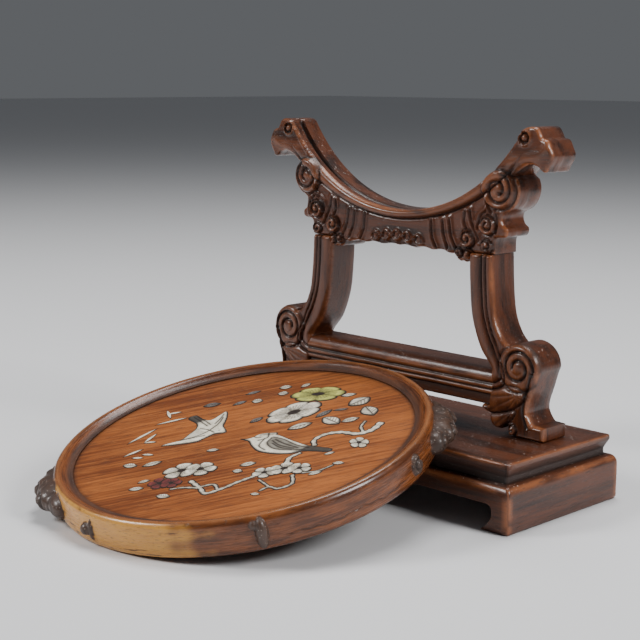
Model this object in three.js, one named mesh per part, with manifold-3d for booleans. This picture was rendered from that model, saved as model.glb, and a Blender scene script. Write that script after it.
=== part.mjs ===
// A round table screen of rosewood with its stand.
// The stand is a block plinth with a frame of two scroll legs, a rail and a crescent cradle.
// The disc has a panel inlaid with birds and blossom in a moulded rim.
// It has been lifted off and leans with its back edge on the plinth's front edge.
// Millimetres, +Z up, the front faces -Y. The origin is under the middle of the whole object's box.

import * as THREE from 'three';
import { mergeVertices } from 'three/addons/utils/BufferGeometryUtils.js';
import Module from 'manifold-3d';

const wasm = await Module();
wasm.setup();

// Gap between pieces that touch
const clearance = 0.3;

// Plinth, one block of wood
const plinthLength = 188;
const plinthDepth = 75.4;
const plinthHeight = 28.5;
const apronHeight = 19.4;
const apronRounding = 4;
const slabInset = 2.6;
const slabEdgeHeight = 2.3;
const slabBevelWidth = 3;
const slabBevelDrop = 0.6;
const waistInset = 4.3;
const waistHeight = 2.8;
const plinthCorner = 1.2;
const plinthArris = 0.6;
const channelHeight = 11.3;
const footHeelWidth = 13.4;
const footNeckWidth = 8.2;

// Stand frame, with heights above the plinth's top
const frameDepth = 17;
const frameSetback = -1.2;
const edgeBevel = 0.8;
const windowHalfWidth = 41.2;
const postTop = 75;
const postWidth = 11.5;
const archReach = 13.4;
const railBottom = 11.7;
const railHeight = 15.2;
const railBandHeight = 6.2;
const voluteReach = 27.6;
const voluteHeight = 29.4;
const voluteRadius = 10.2;
const toeReach = 40.9;
const toeHeight = 6;
const grooveHalfWidth = 0.8;
const bandWidth = 6.6;
const beadWidth = 2.3;

// Disc, with heights above its underside
const discRadius = 80;
const discThickness = 14.2;
const footingInset = 1.8;
const crestInset = 2.2;
const crestWidth = 3.2;
const wallRounding = 2;
const rimWidth = 8.6;
const rebateWidth = 2.3;
const panelRecess = 3;
const panelThickness = 8;
const discSide = -8.4;
const discGap = 1.76;
const knotAngles = [40, 238];
const knotReach = 8.5;
const stubAngles = [268, 322, 14, 225];
const stubReach = 2.4;

// Cradle, with the places of its scrolls measured from the window's upper corner
const cradleThickness = 15.2;
const seatSpan = 55.7;
const seatGrooveFront = 5.1;
const seatGrooveWidth = 3.1;
const seatGrooveDepth = 2.4;
const rollWidth = 3.8;
const rollSwell = 2.2;
const bossHeight = 0.9;
const shoulderPlace = [15.2, 27.4];
const shoulderRadius = 9.6;
const lowScrollPlace = [9.5, 12.4];
const lowScrollRadius = 3.6;
const innerScrollPlace = [-1.3, 6];
const innerScrollRadius = 3.4;
const eyeRadius = 2.9;
const beakLength = 16.1;
const beakDrop = 14.8;

// Inlay
const inlayThickness = 1.2;
const inlayProud = 0.3;
const strokeDepth = 0.6;
const strokeWidth = 1.1;

// Places worked out from these sizes
const railTop = railBottom + railHeight;
const railHalfLength = windowHalfWidth + archReach;
const voluteEye = [windowHalfWidth + voluteReach, voluteHeight];
const toeEnd = windowHalfWidth + toeReach;
const cradleBase = postTop + clearance;
const seatRadius = discRadius + clearance;
const seatCentre = cradleBase + cradleThickness + seatRadius;
const openingRadius = discRadius - rimWidth;
const panelRadius = openingRadius + rebateWidth;
const slabFront = plinthDepth / 2 - slabInset;

const radians = THREE.MathUtils.degToRad;
const meshTolerance = 1e-4;
const grooveLift = 0.05;
const roundSteps = 48;

const finishes = {
  rosewood: { color: 0x3a1a10, roughness: 0.35, metalness: 0 },
  rimWood: { color: 0x8a5427, roughness: 0.4, metalness: 0 },
  panelWood: { color: 0xa3602a, roughness: 0.5, metalness: 0 },
  shell: { color: 0xe4dcc8, roughness: 0.35, metalness: 0 },
  greenStone: { color: 0xb9b04a, roughness: 0.4, metalness: 0 },
  redStone: { color: 0x6f2f2c, roughness: 0.45, metalness: 0 },
  greyShell: { color: 0x8f8a80, roughness: 0.4, metalness: 0 },
};

// Signed volume of an indexed geometry, below zero where its faces point inwards
function signedVolume(position, index) {
  const a = new THREE.Vector3();
  const b = new THREE.Vector3();
  const c = new THREE.Vector3();
  let volume = 0;
  for (let i = 0; i < index.length; i += 3) {
    a.fromArray(position, 3 * index[i]);
    b.fromArray(position, 3 * index[i + 1]);
    c.fromArray(position, 3 * index[i + 2]);
    volume += a.dot(b.cross(c)) / 6;
  }
  return volume;
}

// A closed geometry as a solid that can be joined and cut
function solid(geometry) {
  geometry.deleteAttribute('normal');
  geometry.deleteAttribute('uv');
  const merged = mergeVertices(geometry, meshTolerance);
  const position = merged.attributes.position.array;
  let index = Uint32Array.from(merged.index.array);
  if (signedVolume(position, index) < 0) {
    index = index.reverse();
  }
  const mesh = new wasm.Mesh({ numProp: 3, vertProperties: Float32Array.from(position), triVerts: index });
  mesh.merge();
  return new wasm.Manifold(mesh);
}

function geometryOf(body) {
  const mesh = body.getMesh();
  const geometry = new THREE.BufferGeometry();
  geometry.setAttribute('position', new THREE.BufferAttribute(mesh.vertProperties, 3));
  geometry.setIndex(new THREE.BufferAttribute(mesh.triVerts, 1));
  geometry.computeVertexNormals();
  return geometry;
}

function meshOf(name, body, finish) {
  const mesh = new THREE.Mesh(geometryOf(body), new THREE.MeshStandardMaterial(finish));
  mesh.name = name;
  return mesh;
}

function joined(bodies) {
  return bodies.reduce((whole, body) => whole.add(body));
}

function cutBy(body, cutters) {
  return cutters.reduce((rest, cutter) => rest.subtract(cutter), body);
}

// Points of a smooth curve through the given points
function smooth(points, steps) {
  const curve = new THREE.SplineCurve(points.map(([x, z]) => new THREE.Vector2(x, z)));
  return curve.getPoints(steps).map((point) => [point.x, point.y]);
}

// Points of an arc, with its angles in degrees
function arc([x, z], radius, from, to, steps) {
  return Array.from({ length: steps + 1 }, (_, i) => {
    const angle = radians(from + ((to - from) * i) / steps);
    return [x + radius * Math.cos(angle), z + radius * Math.sin(angle)];
  });
}

// Points of a spiral whose radius runs evenly from one value to the other
function spiral([x, z], radiusFrom, radiusTo, from, to, steps) {
  return Array.from({ length: steps + 1 }, (_, i) => {
    const share = i / steps;
    const angle = radians(from + (to - from) * share);
    const radius = radiusFrom + (radiusTo - radiusFrom) * share;
    return [x + radius * Math.cos(angle), z + radius * Math.sin(angle)];
  });
}

function mirrored(points, side) {
  return points.map(([x, z]) => [side * x, z]);
}

// A board whose outline is seen from the front, with its edges bevelled
function board(outline, front, back, bevel) {
  const shape = new THREE.Shape(outline.map(([x, z]) => new THREE.Vector2(x, z)));
  const geometry = new THREE.ExtrudeGeometry(shape, {
    depth: back - front - 2 * bevel,
    bevelEnabled: bevel > 0,
    bevelThickness: bevel,
    bevelSize: bevel,
    bevelOffset: -bevel,
    bevelSegments: 1,
  });
  geometry.rotateX(Math.PI / 2);
  geometry.translate(0, back - bevel, 0);
  return solid(geometry);
}

// A flat plate whose outline is seen from above
function plate(outline, bottom, top) {
  const shape = new THREE.Shape(outline.map(([x, y]) => new THREE.Vector2(x, y)));
  const geometry = new THREE.ExtrudeGeometry(shape, { depth: top - bottom, bevelEnabled: false });
  geometry.translate(0, 0, bottom);
  return solid(geometry);
}

// A V-shaped groove cutter along a line on the front face, with its widest part just before the face
function groove(points, halfWidth, steps) {
  const line = points.map(([x, z]) => new THREE.Vector3(x, -grooveLift, z));
  const section = new THREE.Shape([
    new THREE.Vector2(-halfWidth, 0),
    new THREE.Vector2(0, -halfWidth),
    new THREE.Vector2(halfWidth, 0),
    new THREE.Vector2(0, halfWidth),
  ]);
  const path = new THREE.CatmullRomCurve3(line, false, 'centripetal');
  return solid(new THREE.ExtrudeGeometry(section, { steps, bevelEnabled: false, extrudePath: path }));
}

// A low rounded boss on a front face
function boss([x, z], radius, height, sides = 10) {
  const geometry = new THREE.SphereGeometry(radius, sides, 5);
  geometry.rotateX(Math.PI / 2);
  geometry.scale(1, height / radius, 1);
  geometry.translate(x, 0, z);
  return solid(geometry);
}

// A rectangular block with rounded upright corners, from rows of [inset, height]
function mouldedBlock(length, depth, corner, rows, cornerSteps) {
  const rings = rows.map(([inset, height]) => {
    const halfX = length / 2 - inset - corner;
    const halfY = depth / 2 - inset - corner;
    const centres = [[halfX, halfY], [-halfX, halfY], [-halfX, -halfY], [halfX, -halfY]];
    return centres.flatMap((centre, i) => (
      arc(centre, corner, 90 * i, 90 * (i + 1), cornerSteps).map(([x, y]) => [x, y, height])
    ));
  });
  const around = rings[0].length;
  const position = rings.flat(2);
  position.push(0, 0, rows[0][1], 0, 0, rows[rows.length - 1][1]);
  const bottomCentre = rings.length * around;
  const index = [];
  for (let i = 0; i < around; i += 1) {
    const next = (i + 1) % around;
    for (let row = 0; row + 1 < rings.length; row += 1) {
      const low = row * around;
      const high = low + around;
      index.push(low + i, low + next, high + next, low + i, high + next, high + i);
    }
    const top = bottomCentre - around;
    index.push(bottomCentre, next, i, bottomCentre + 1, top + i, top + next);
  }
  const geometry = new THREE.BufferGeometry();
  geometry.setAttribute('position', new THREE.Float32BufferAttribute(position, 3));
  geometry.setIndex(index);
  return solid(geometry);
}

function plinthBody() {
  const waistTop = apronHeight + waistHeight;
  const slabUnderside = plinthHeight - slabBevelDrop - slabEdgeHeight;
  const slabArris = plinthHeight - slabBevelDrop;
  const rows = [
    [plinthArris, 0],
    [0, plinthArris],
    [0, apronHeight - apronRounding],
    [0.12 * apronRounding, apronHeight - 0.5 * apronRounding],
    [0.38 * apronRounding, apronHeight - 0.15 * apronRounding],
    [slabInset, apronHeight],
    [waistInset, apronHeight + 0.2],
    [waistInset, waistTop],
    [waistInset - 0.3 * (waistInset - slabInset), 0.5 * (waistTop + slabUnderside)],
    [slabInset, slabUnderside],
    [slabInset, slabArris],
    [slabInset + slabBevelWidth, plinthHeight],
  ];
  const block = mouldedBlock(plinthLength, plinthDepth, plinthCorner, rows, 2);
  const heel = plinthLength / 2 - footHeelWidth;
  const neck = plinthLength / 2 - footNeckWidth;
  const half = smooth([
    [heel, -1],
    [heel, 0.4],
    [0.5 * (heel + neck), 0.2 * channelHeight],
    [neck - 0.3, 0.5 * channelHeight],
    [neck, 0.75 * channelHeight],
    [neck - 0.8, 0.95 * channelHeight],
    [neck - 3, channelHeight],
  ], 8);
  const other = mirrored(half, -1).reverse();
  const channel = board([...half, ...other], -plinthDepth, plinthDepth, 0);
  return block.subtract(channel);
}

// A place on the cradle, from its distances to the window's upper corner
function cornered([x, z]) {
  return [windowHalfWidth + x, postTop + z];
}

// The inner edge of a post, from its top down to the rail
function postInnerEdge() {
  const foot = railHalfLength + clearance;
  return [
    [windowHalfWidth, postTop],
    [windowHalfWidth + 0.4, postTop - 11],
    [windowHalfWidth + 1.6, postTop - 24],
    [windowHalfWidth + 3.9, railTop + 15.6],
    [windowHalfWidth + 7.5, railTop + 7.8],
    [foot - 1.6, railTop + 2.4],
    [foot, railTop + 0.2],
  ];
}

// The outer edge of a post, from the volute up to its top
function postOuterEdge() {
  const outer = windowHalfWidth + postWidth;
  return [
    [voluteEye[0] - 0.56 * voluteRadius, voluteEye[1] + 0.77 * voluteRadius],
    [outer + 6.1, voluteEye[1] + 11.9],
    [outer + 2.7, voluteEye[1] + 18.9],
    [outer + 1.3, postTop - 19],
    [outer + 0.5, postTop - 10],
    [outer, postTop],
  ];
}

function legOutline() {
  const [eyeX, eyeZ] = voluteEye;
  const jointX = railHalfLength + clearance;
  const leafTop = railBottom - clearance;
  const bracket = [
    [jointX, leafTop],
    [jointX - 4.4, leafTop],
    [jointX - 4.9, leafTop - 2 * edgeBevel],
    [jointX - 2.6, leafTop - 3.4 * edgeBevel],
    [jointX, leafTop - 3.6],
    [jointX - 0.3, leafTop - 5.2],
    [jointX + 0.4, leafTop - 7],
    [jointX + 2.3, leafTop - 8.8],
    [jointX + 5.5, leafTop - 9],
    [jointX + 7.4, leafTop - 7.2],
    [jointX + 9.1, leafTop - 6.4],
    [jointX + 9.3, leafTop - 8.8],
    [jointX + 10.3, clearance],
  ];
  const toe = [
    [toeEnd, clearance],
    [toeEnd, toeHeight - edgeBevel],
    [toeEnd - edgeBevel, toeHeight],
  ];
  const stem = smooth([
    [toeEnd - 5.1, toeHeight + 0.2],
    [eyeX + 6.6, toeHeight + 2],
    [eyeX + 5, toeHeight + 5.2],
    [eyeX + 5.5, toeHeight + 9.2],
    [eyeX + 7.3, eyeZ - 8.9],
    [eyeX + 9, eyeZ - 3.1],
  ], 9);
  const volute = arc([eyeX, eyeZ], voluteRadius, 0, 118, 8);
  const outer = smooth(postOuterEdge(), 10);
  const inner = smooth(postInnerEdge(), 12);
  return [...bracket, ...toe, ...stem, ...volute, ...outer, ...inner];
}

// The lines of a post's mouldings, moved outwards from its inner edge
function offsetLine(points, distance) {
  return points.map(([x, z], i) => {
    const before = points[Math.max(0, i - 1)];
    const after = points[Math.min(points.length - 1, i + 1)];
    const dx = after[0] - before[0];
    const dz = after[1] - before[1];
    const length = Math.hypot(dx, dz);
    return [x - (dz / length) * distance, z + (dx / length) * distance];
  });
}

function legBody(side) {
  const [eyeX, eyeZ] = voluteEye;
  const core = board(mirrored(legOutline(), side), 0, frameDepth, edgeBevel);
  const inner = postInnerEdge();
  inner[0] = [inner[0][0], postTop + 2];
  const bandLine = offsetLine(inner, bandWidth).slice(0, 6);
  const beadLine = offsetLine(inner, bandWidth + beadWidth).slice(0, 6);
  const corner = [railHalfLength, railTop - railBandHeight];
  const cornerLow = [railHalfLength, railTop - railBandHeight - beadWidth];
  const bandTurn = [railHalfLength + 5.4, railTop - 1.5];
  const beadTurn = [railHalfLength + 7.4, railTop - 2.5];
  const lines = [
    [...bandLine, bandTurn, [railHalfLength + 3.6, corner[1] + 0.8], corner],
    [...beadLine, beadTurn, [railHalfLength + 4.6, cornerLow[1] + 0.8], cornerLow],
  ];
  const scroll = [
    [eyeX + 6.3, toeHeight + 3],
    [eyeX + 3.4, toeHeight + 6.2],
    [eyeX + 4.1, eyeZ - 11],
    [eyeX + 6.2, eyeZ - 6],
    ...spiral(voluteEye, 0.76 * voluteRadius, 0.27 * voluteRadius, -10, 500, 14),
  ];
  const leafCut = [
    [railHalfLength + 1, railBottom - 2.8],
    [railHalfLength + 7, railBottom - 2.5],
    [railHalfLength + 13, railBottom - 0.6],
    [eyeX + 3, railBottom + 3.8],
    [eyeX + 5.5, eyeZ - 7],
  ];
  const leafRib = [
    [railHalfLength, railBottom + 0.6],
    [railHalfLength + 6, railBottom + 2.4],
    [railHalfLength + 11, railBottom + 5.8],
  ];
  const cutters = [
    ...lines.map((line) => groove(mirrored(line, side), grooveHalfWidth, 9)),
    groove(mirrored(scroll, side), grooveHalfWidth, 17),
    groove(mirrored(leafCut, side), grooveHalfWidth, 5),
    groove(mirrored(leafRib, side), 0.6 * grooveHalfWidth, 5),
  ];
  return cutBy(core, cutters);
}

function railBody() {
  const bead = railTop - railBandHeight;
  const low = bead - beadWidth;
  const dip = grooveHalfWidth;
  const section = [
    [frameDepth, railBottom],
    [frameDepth, railTop - edgeBevel],
    [frameDepth - edgeBevel, railTop],
    [2.4, railTop],
    [0.7, railTop - 0.8],
    [0, railTop - 2.4],
    [0, bead + dip],
    [dip, bead],
    [0, bead - dip],
    [0, low + dip],
    [dip, low],
    [0, low - dip],
    [0, railBottom + 0.6],
    [0.6, railBottom],
  ];
  const shape = new THREE.Shape(section.map(([y, z]) => new THREE.Vector2(y, z)));
  const geometry = new THREE.ExtrudeGeometry(shape, { depth: 2 * railHalfLength, bevelEnabled: false });
  geometry.rotateX(Math.PI / 2);
  geometry.rotateZ(Math.PI / 2);
  geometry.translate(-railHalfLength, 0, 0);
  return solid(geometry);
}

// The right half of the cradle's edge, from the seat's middle round to the middle below
function cradleHalf() {
  const seat = arc([0, seatCentre], seatRadius, -90, seatSpan - 90, 10);
  const [tipX, tipZ] = seat[seat.length - 1];
  const beakX = tipX + beakLength;
  const beakZ = tipZ - beakDrop;
  const head = [
    [tipX + 1.9, tipZ + 2.1],
    [tipX + 5.2, tipZ + 2.9],
    [tipX + 8.3, tipZ + 2.2],
    [tipX + 10, tipZ - 0.2],
    [tipX + 10.9, tipZ - 1.5],
    [beakX - 3.3, tipZ - 3],
    [beakX - 0.8, beakZ + 9.3],
    [beakX, beakZ + 6.9],
    [beakX - 0.7, beakZ + 4.5],
    [beakX - 2.2, beakZ + 2],
    [beakX - 3.2, beakZ],
    [beakX - 4.7, beakZ],
    [beakX - 6.9, beakZ + 1.7],
    [tipX + 5.5, beakZ + 2.7],
    [tipX + 2.3, beakZ + 1.8],
    [tipX - 0.4, beakZ + 0.2],
  ];
  const [eyeX, eyeZ] = cornered(shoulderPlace);
  const shoulder = arc([eyeX, eyeZ], shoulderRadius, 33, -60, 5);
  const toe = [
    [eyeX + 2.4, eyeZ - 9.4],
    [eyeX + 1.1, eyeZ - 10.6],
    [eyeX + 0.9, eyeZ - 12.6],
    [eyeX + 1.8, eyeZ - 14.5],
    [eyeX + 3.6, eyeZ - 16],
    [eyeX + 3.7, eyeZ - 18.4],
    [eyeX + 2.4, eyeZ - 19.7],
    [windowHalfWidth + postWidth + 1.5, eyeZ - 20.5],
    [windowHalfWidth + postWidth + 1, cradleBase],
  ];
  const lobe = [
    [windowHalfWidth - 0.35, cradleBase],
    [windowHalfWidth - 0.4, cradleBase - 3.3],
    [windowHalfWidth - 2.3, cradleBase - 4.6],
    [windowHalfWidth - 5.1, cradleBase - 4.6],
    [windowHalfWidth - 7.3, cradleBase - 3.2],
    [windowHalfWidth - 8.4, cradleBase - 1],
  ];
  const underside = [
    [0.73 * windowHalfWidth, cradleBase - 1.6],
    [0.58 * windowHalfWidth, cradleBase - 0.7],
    [0.38 * windowHalfWidth, cradleBase - 0.3],
    [0.19 * windowHalfWidth, cradleBase - 0.6],
  ];
  return [...seat, ...head, ...shoulder, ...toe, ...lobe, ...underside];
}

// The lower edge of the roll along the seat, which grows wider towards its ends
function rollEdge() {
  const half = 6;
  return Array.from({ length: 2 * half + 1 }, (_, i) => {
    const share = (i - half) / half;
    const angle = radians(-90 + 0.74 * seatSpan * share);
    const radius = seatRadius + rollWidth + rollSwell * share * share;
    return [radius * Math.cos(angle), seatCentre + radius * Math.sin(angle)];
  });
}

// The carved lines of the cradle's right half, each with its number of steps
function cradleLines() {
  const tip = radians(seatSpan - 90);
  const headEye = [seatRadius * Math.cos(tip) + 2.7, seatCentre + seatRadius * Math.sin(tip) - 1.5];
  const scrolls = [
    [spiral(cornered(shoulderPlace), 0.62 * shoulderRadius, 0.24 * shoulderRadius, 60, -400, 12), 10],
    [spiral(cornered(lowScrollPlace), lowScrollRadius, 0.4 * lowScrollRadius, 170, -250, 8), 7],
    [spiral(cornered(innerScrollPlace), innerScrollRadius, 0.4 * innerScrollRadius, 20, 400, 8), 7],
    [spiral(headEye, eyeRadius, eyeRadius, 0, 345, 8), 8],
  ];
  const sweeps = [
    [[-0.1, 19], [0.6, 14.1], [2.9, 9.2], [5.1, 5.4]],
    [[-11.4, 13.4], [-9.6, 6.5], [-7.3, 1.4]],
    [[-21.5, 12.2], [-20.8, 5.5], [-18.4, 0.5]],
    [[8.9, 23], [10, 19.7], [11.7, 17.8]],
    [[8.8, 18.5], [5.3, 15.3], [4.6, 11]],
  ];
  return [...scrolls, ...sweeps.map((line) => [line.map(cornered), 3])];
}

function cradleBody() {
  const half = cradleHalf();
  const other = mirrored(half.slice(1), -1).reverse();
  const middle = [[0, cradleBase + 0.1]];
  const core = board([...half, ...middle, ...other], 0, frameDepth, edgeBevel);
  const channelRadius = seatRadius + seatGrooveDepth;
  const channel = new THREE.CylinderGeometry(channelRadius, channelRadius, seatGrooveWidth, 48);
  channel.translate(0, seatGrooveFront + seatGrooveWidth / 2, seatCentre);
  const cutters = [solid(channel), groove(rollEdge(), grooveHalfWidth, 12)];
  for (const side of [1, -1]) {
    for (const [line, steps] of cradleLines()) {
      cutters.push(groove(mirrored(line, side), grooveHalfWidth, steps));
    }
  }
  const carved = cutBy(core, cutters);
  const pitch = 0.15 * windowHalfWidth;
  const knots = [-2, -1, 0, 1, 2].map((place) => (
    boss([place * pitch, postTop + 4 - 0.4 * place * place], 2.4, bossHeight, 8)
  ));
  return joined([carved, ...knots]);
}

// Rim of the disc
function ringBody() {
  const lip = discThickness - panelRecess + clearance;
  const crest = discRadius - crestInset;
  const rebate = panelRadius + clearance;
  const section = [
    [rebate, 0],
    [discRadius - footingInset, 0],
    [discRadius - 0.4, footingInset],
    [discRadius, 0.5 * discThickness],
    [discRadius - 0.5, discThickness - wallRounding],
    [crest, discThickness],
    [crest - crestWidth, discThickness - 0.8],
    [openingRadius, lip],
    [rebate, lip],
    [rebate, 0],
  ];
  const geometry = new THREE.LatheGeometry(section.map(([r, z]) => new THREE.Vector2(r, z)), roundSteps);
  geometry.rotateX(Math.PI / 2);
  return solid(geometry);
}

// An ellipsoid on the rim's wall, turned to face outwards
function wallLump(angle, along, height, sizes, sides) {
  const geometry = new THREE.SphereGeometry(1, sides, Math.round(sides * 0.6));
  geometry.scale(...sizes);
  geometry.translate(discRadius + along[0], along[1], height);
  geometry.rotateZ(radians(angle));
  return solid(geometry);
}

function rimBody() {
  const middle = 0.5 * discThickness;
  const lumps = [];
  for (const angle of knotAngles) {
    lumps.push(wallLump(angle, [0.5, 3], middle + 0.5, [knotReach, 9.5, 5.6], 7));
    lumps.push(wallLump(angle, [1, -9], middle + 0.3, [0.62 * knotReach, 8, 5], 6));
    lumps.push(wallLump(angle, [-0.5, 13], middle + 0.3, [0.4 * knotReach, 6, 4.4], 6));
  }
  for (const angle of stubAngles) {
    lumps.push(wallLump(angle, [0, 0], middle, [stubReach, 2.9, 4.6], 6));
  }
  const inner = discRadius - crestInset - 1.5;
  const inside = plate(arc([0, 0], inner, 0, 350, 35), -discRadius, discRadius);
  return ringBody().add(joined(lumps).subtract(inside));
}

// A flower's edge, drawn out along one direction
function flower([x, y], length, width, turn, petals, pointsPerPetal) {
  const count = petals * pointsPerPetal;
  const angle = radians(turn);
  return Array.from({ length: count }, (_, i) => {
    const phase = (2 * Math.PI * i) / count;
    const swell = 0.8 + 0.2 * Math.abs(Math.sin((petals * phase) / 2));
    const u = length * swell * Math.cos(phase);
    const v = width * swell * Math.sin(phase);
    return [x + u * Math.cos(angle) - v * Math.sin(angle), y + u * Math.sin(angle) + v * Math.cos(angle)];
  });
}

// A leaf's edge, pointed at both ends
function leaf([x, y], length, width, turn) {
  const angle = radians(turn);
  const steps = length > 7 ? 4 : 3;
  const upper = Array.from({ length: steps + 1 }, (_, i) => {
    const share = i / steps;
    return [length * (0.5 - share), 0.5 * width * Math.sin(Math.PI * share) ** 0.8];
  });
  const lower = upper.slice(1, -1).map(([u, v]) => [u, -v]).reverse();
  return [...upper, ...lower].map(([u, v]) => [
    x + u * Math.cos(angle) - v * Math.sin(angle),
    y + u * Math.sin(angle) + v * Math.cos(angle),
  ]);
}

// A branch's edge, tapering from its first point to its last
function strip(points, widthFrom, widthTo, steps) {
  const line = smooth(points, steps);
  const half = line.map((_, i) => 0.5 * (widthFrom + ((widthTo - widthFrom) * i) / steps));
  const sideOf = (sign) => line.map(([x, y], i) => {
    const before = line[Math.max(0, i - 1)];
    const after = line[Math.min(steps, i + 1)];
    const length = Math.hypot(after[0] - before[0], after[1] - before[1]);
    const dx = (after[0] - before[0]) / length;
    const dy = (after[1] - before[1]) / length;
    return [x - sign * dy * half[i], y + sign * dx * half[i]];
  });
  return [...sideOf(-1), ...sideOf(1).reverse()];
}

// A closed smooth edge through the given points
function closedCurve(points, steps) {
  const corners = points.map(([x, y]) => new THREE.Vector3(x, y, 0));
  const curve = new THREE.CatmullRomCurve3(corners, true, 'centripetal');
  return curve.getPoints(steps).slice(0, -1).map((point) => [point.x, point.y]);
}

// An outline moved outwards by a distance
function grown(outline, distance) {
  const area = outline.reduce((sum, [x, y], i) => {
    const [nextX, nextY] = outline[(i + 1) % outline.length];
    return sum + x * nextY - nextX * y;
  }, 0);
  const sign = Math.sign(area);
  return outline.map(([x, y], i) => {
    const [x0, y0] = outline[(i + outline.length - 1) % outline.length];
    const [x1, y1] = outline[(i + 1) % outline.length];
    const before = new THREE.Vector2(y - y0, x0 - x).normalize();
    const after = new THREE.Vector2(y1 - y, x - x1).normalize();
    const normal = before.clone().add(after);
    const reach = Math.min(2.5, 2 / Math.max(0.1, normal.length() ** 2));
    return [x + sign * normal.x * distance * reach, y + sign * normal.y * distance * reach];
  });
}

// Inlay pieces, in the disc's own plane: x to the right, y towards the stand
const perchedBird = closedCurve([
  [-0.3, -0.8], [3.2, 2.4], [4.7, 7.0], [9, 9.4], [13, 8.2], [20, 7.4], [31, 6.9],
  [41.4, 8.5], [41, 6.9], [32.5, 2.6], [29.4, -1.6], [23.6, -4.5], [15.5, -5.7], [8, -3.2], [3.4, -0.6],
], 24);
const flyingBird = closedCurve([
  [-27.7, -21.2], [-25.8, -10.8], [-27.2, -4], [-31, 1], [-39, 3.2], [-38, 6.2], [-29, 4],
  [-25, 7.5], [-28.3, 15], [-21.8, 9], [-17.9, 4], [-13.1, 0.6], [-16.8, -6], [-17.6, -12], [-22.6, -16.5],
], 22);
const inlays = {
  perched_bird: ['shell', [perchedBird]],
  flying_bird: ['shell', [flyingBird]],
  green_flower: ['greenStone', [flower([-3.6, 47.6], 12, 7.4, 31, 7, 3)]],
  white_flower: ['shell', [flower([0.6, 28.6], 12.2, 8.6, 74, 6, 3)]],
  left_blossom: ['shell', [
    flower([-0.4, -33.4], 7.4, 6.2, 60, 5, 3),
    flower([5.2, -29], 6.6, 5.6, 30, 5, 3),
  ]],
  red_blossom: ['redStone', [flower([1.6, -45.2], 6.4, 4.6, 0, 5, 3)]],
  middle_blossom: ['shell', [
    flower([32.6, -18.8], 5, 4.6, 20, 5, 3),
    flower([37.4, -12.6], 6.2, 5, 50, 5, 3),
    flower([43, -9.6], 5, 4.4, 10, 5, 3),
    strip([[35, -9], [32.2, -4.5], [33, -1]], 2.4, 1.6, 4),
  ]],
  thick_branch: ['shell', [strip([
    [33.6, 8.2], [29.6, 12], [29.8, 18], [34.5, 22.6], [42, 24.6], [45, 30], [43.6, 36.6],
  ], 1.8, 2.6, 10)]],
  long_branch: ['shell', [strip([
    [27.6, -24.6], [28.9, -30], [27.6, -36], [24.6, -42.5], [18.6, -41], [11.8, -38.8],
  ], 1.2, 1.8, 8)]],
  lower_twig: ['shell', [strip([
    [46.4, -14.8], [49.8, -20.4], [48, -26], [43.6, -26.6], [42.6, -31], [38.4, -27.4],
  ], 1.1, 1.1, 8)]],
  right_blossom: ['shell', [flower([48.6, 18.6], 5.2, 3.6, -25, 5, 3)]],
};
const leaves = [
  [19.6, 49.6, 10.5, 8.2, 80], [30.6, 44, 10.4, 7, -28], [10.2, 52.8, 6.6, 3.4, 46],
  [22.2, 29.4, 10.5, 6.6, -10], [29.4, 33.6, 7.6, 4.2, 60], [13.6, 19.4, 10.5, 5.2, 64],
  [-9.2, 15.4, 6.6, 3.4, 80], [14, 33.4, 9, 3.4, 86], [18, 39.6, 6.4, 2.2, 40],
  [-23.8, 47, 5.6, 4.2, 40], [-16.4, 52.6, 5.4, 2.8, 80], [-19.6, 41.4, 4.8, 4.2, 30],
  [-24.6, 30.2, 5, 4.4, 30], [-33.6, 36, 7, 2.6, 60], [-30.6, 25, 6.6, 2.8, 70],
  [-41.4, 18, 7.6, 4.4, 50], [-3.6, -14.4, 5.4, 2.4, 40],
  [20.6, -16.6, 6.4, 3.6, 50], [21.4, -23, 4.4, 3, 20],
  [51.8, -9.8, 5.6, 2.4, 60], [54, 1, 4.8, 2.4, 30], [44.4, 5.8, 4.6, 1.8, 60],
  [43.2, -33.6, 4, 2, 20], [10.6, -52.4, 6, 3.4, 20], [-5, -53.6, 6, 3.2, 40],
  [-7.4, -47.8, 5, 2.2, 60], [-25.2, -41, 6.4, 3.8, 20], [-17.6, -35.4, 8, 3.6, 60],
];
leaves.forEach(([x, y, length, width, turn], i) => {
  const finish = [6, 7, 8, 13, 14, 15].includes(i) ? 'greyShell' : 'shell';
  inlays[`leaf_${String(i + 1).padStart(2, '0')}`] = [finish, [leaf([x, y], length, width, turn)]];
});

// Strokes of the inscription, three rows of short lines with no letters in them
const strokeRows = [
  [[-48.6, -8.6, -40.9, 3.4], [-56.3, 4.2, -47.8, -0.8], [-53.2, 1, -48.6, 6.4]],
  [[-44.2, -27.6, -44.8, -11], [-38, -23.6, -40.4, -14.6], [-38, -23.6, -33.6, -20.2]],
  [[-35, -37, -33.2, -28], [-30.4, -36, -26, -33.4], [-29.2, -31.6, -24, -29.4]],
];

// An outline of the picture, moved from the opening that it is drawn for to the disc's own opening
function placed(outline) {
  const drawnRadius = 71.4;
  const scale = openingRadius / drawnRadius;
  return outline.map(([x, y]) => [scale * x, scale * y]);
}

function strokeCutters(top) {
  return strokeRows.flat().map(([x0, y0, x1, y1]) => (
    plate(placed(strip([[x0, y0], [x1, y1]], strokeWidth, 0.6 * strokeWidth, 1)), top - strokeDepth, top + 1)
  ));
}

function panelTop() {
  return discThickness - panelRecess;
}

function panelBody() {
  const top = panelTop();
  const turn = 360 - 360 / roundSteps;
  const disc = plate(arc([0, 0], panelRadius, 0, turn, roundSteps - 1), top - panelThickness, top);
  const floor = top + inlayProud - inlayThickness - clearance;
  const pockets = Object.values(inlays).map(([, outlines]) => (
    joined(outlines.map((outline) => plate(grown(placed(outline), clearance), floor, top + 1)))
  ));
  return cutBy(disc, [...pockets, ...strokeCutters(top)]);
}

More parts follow.
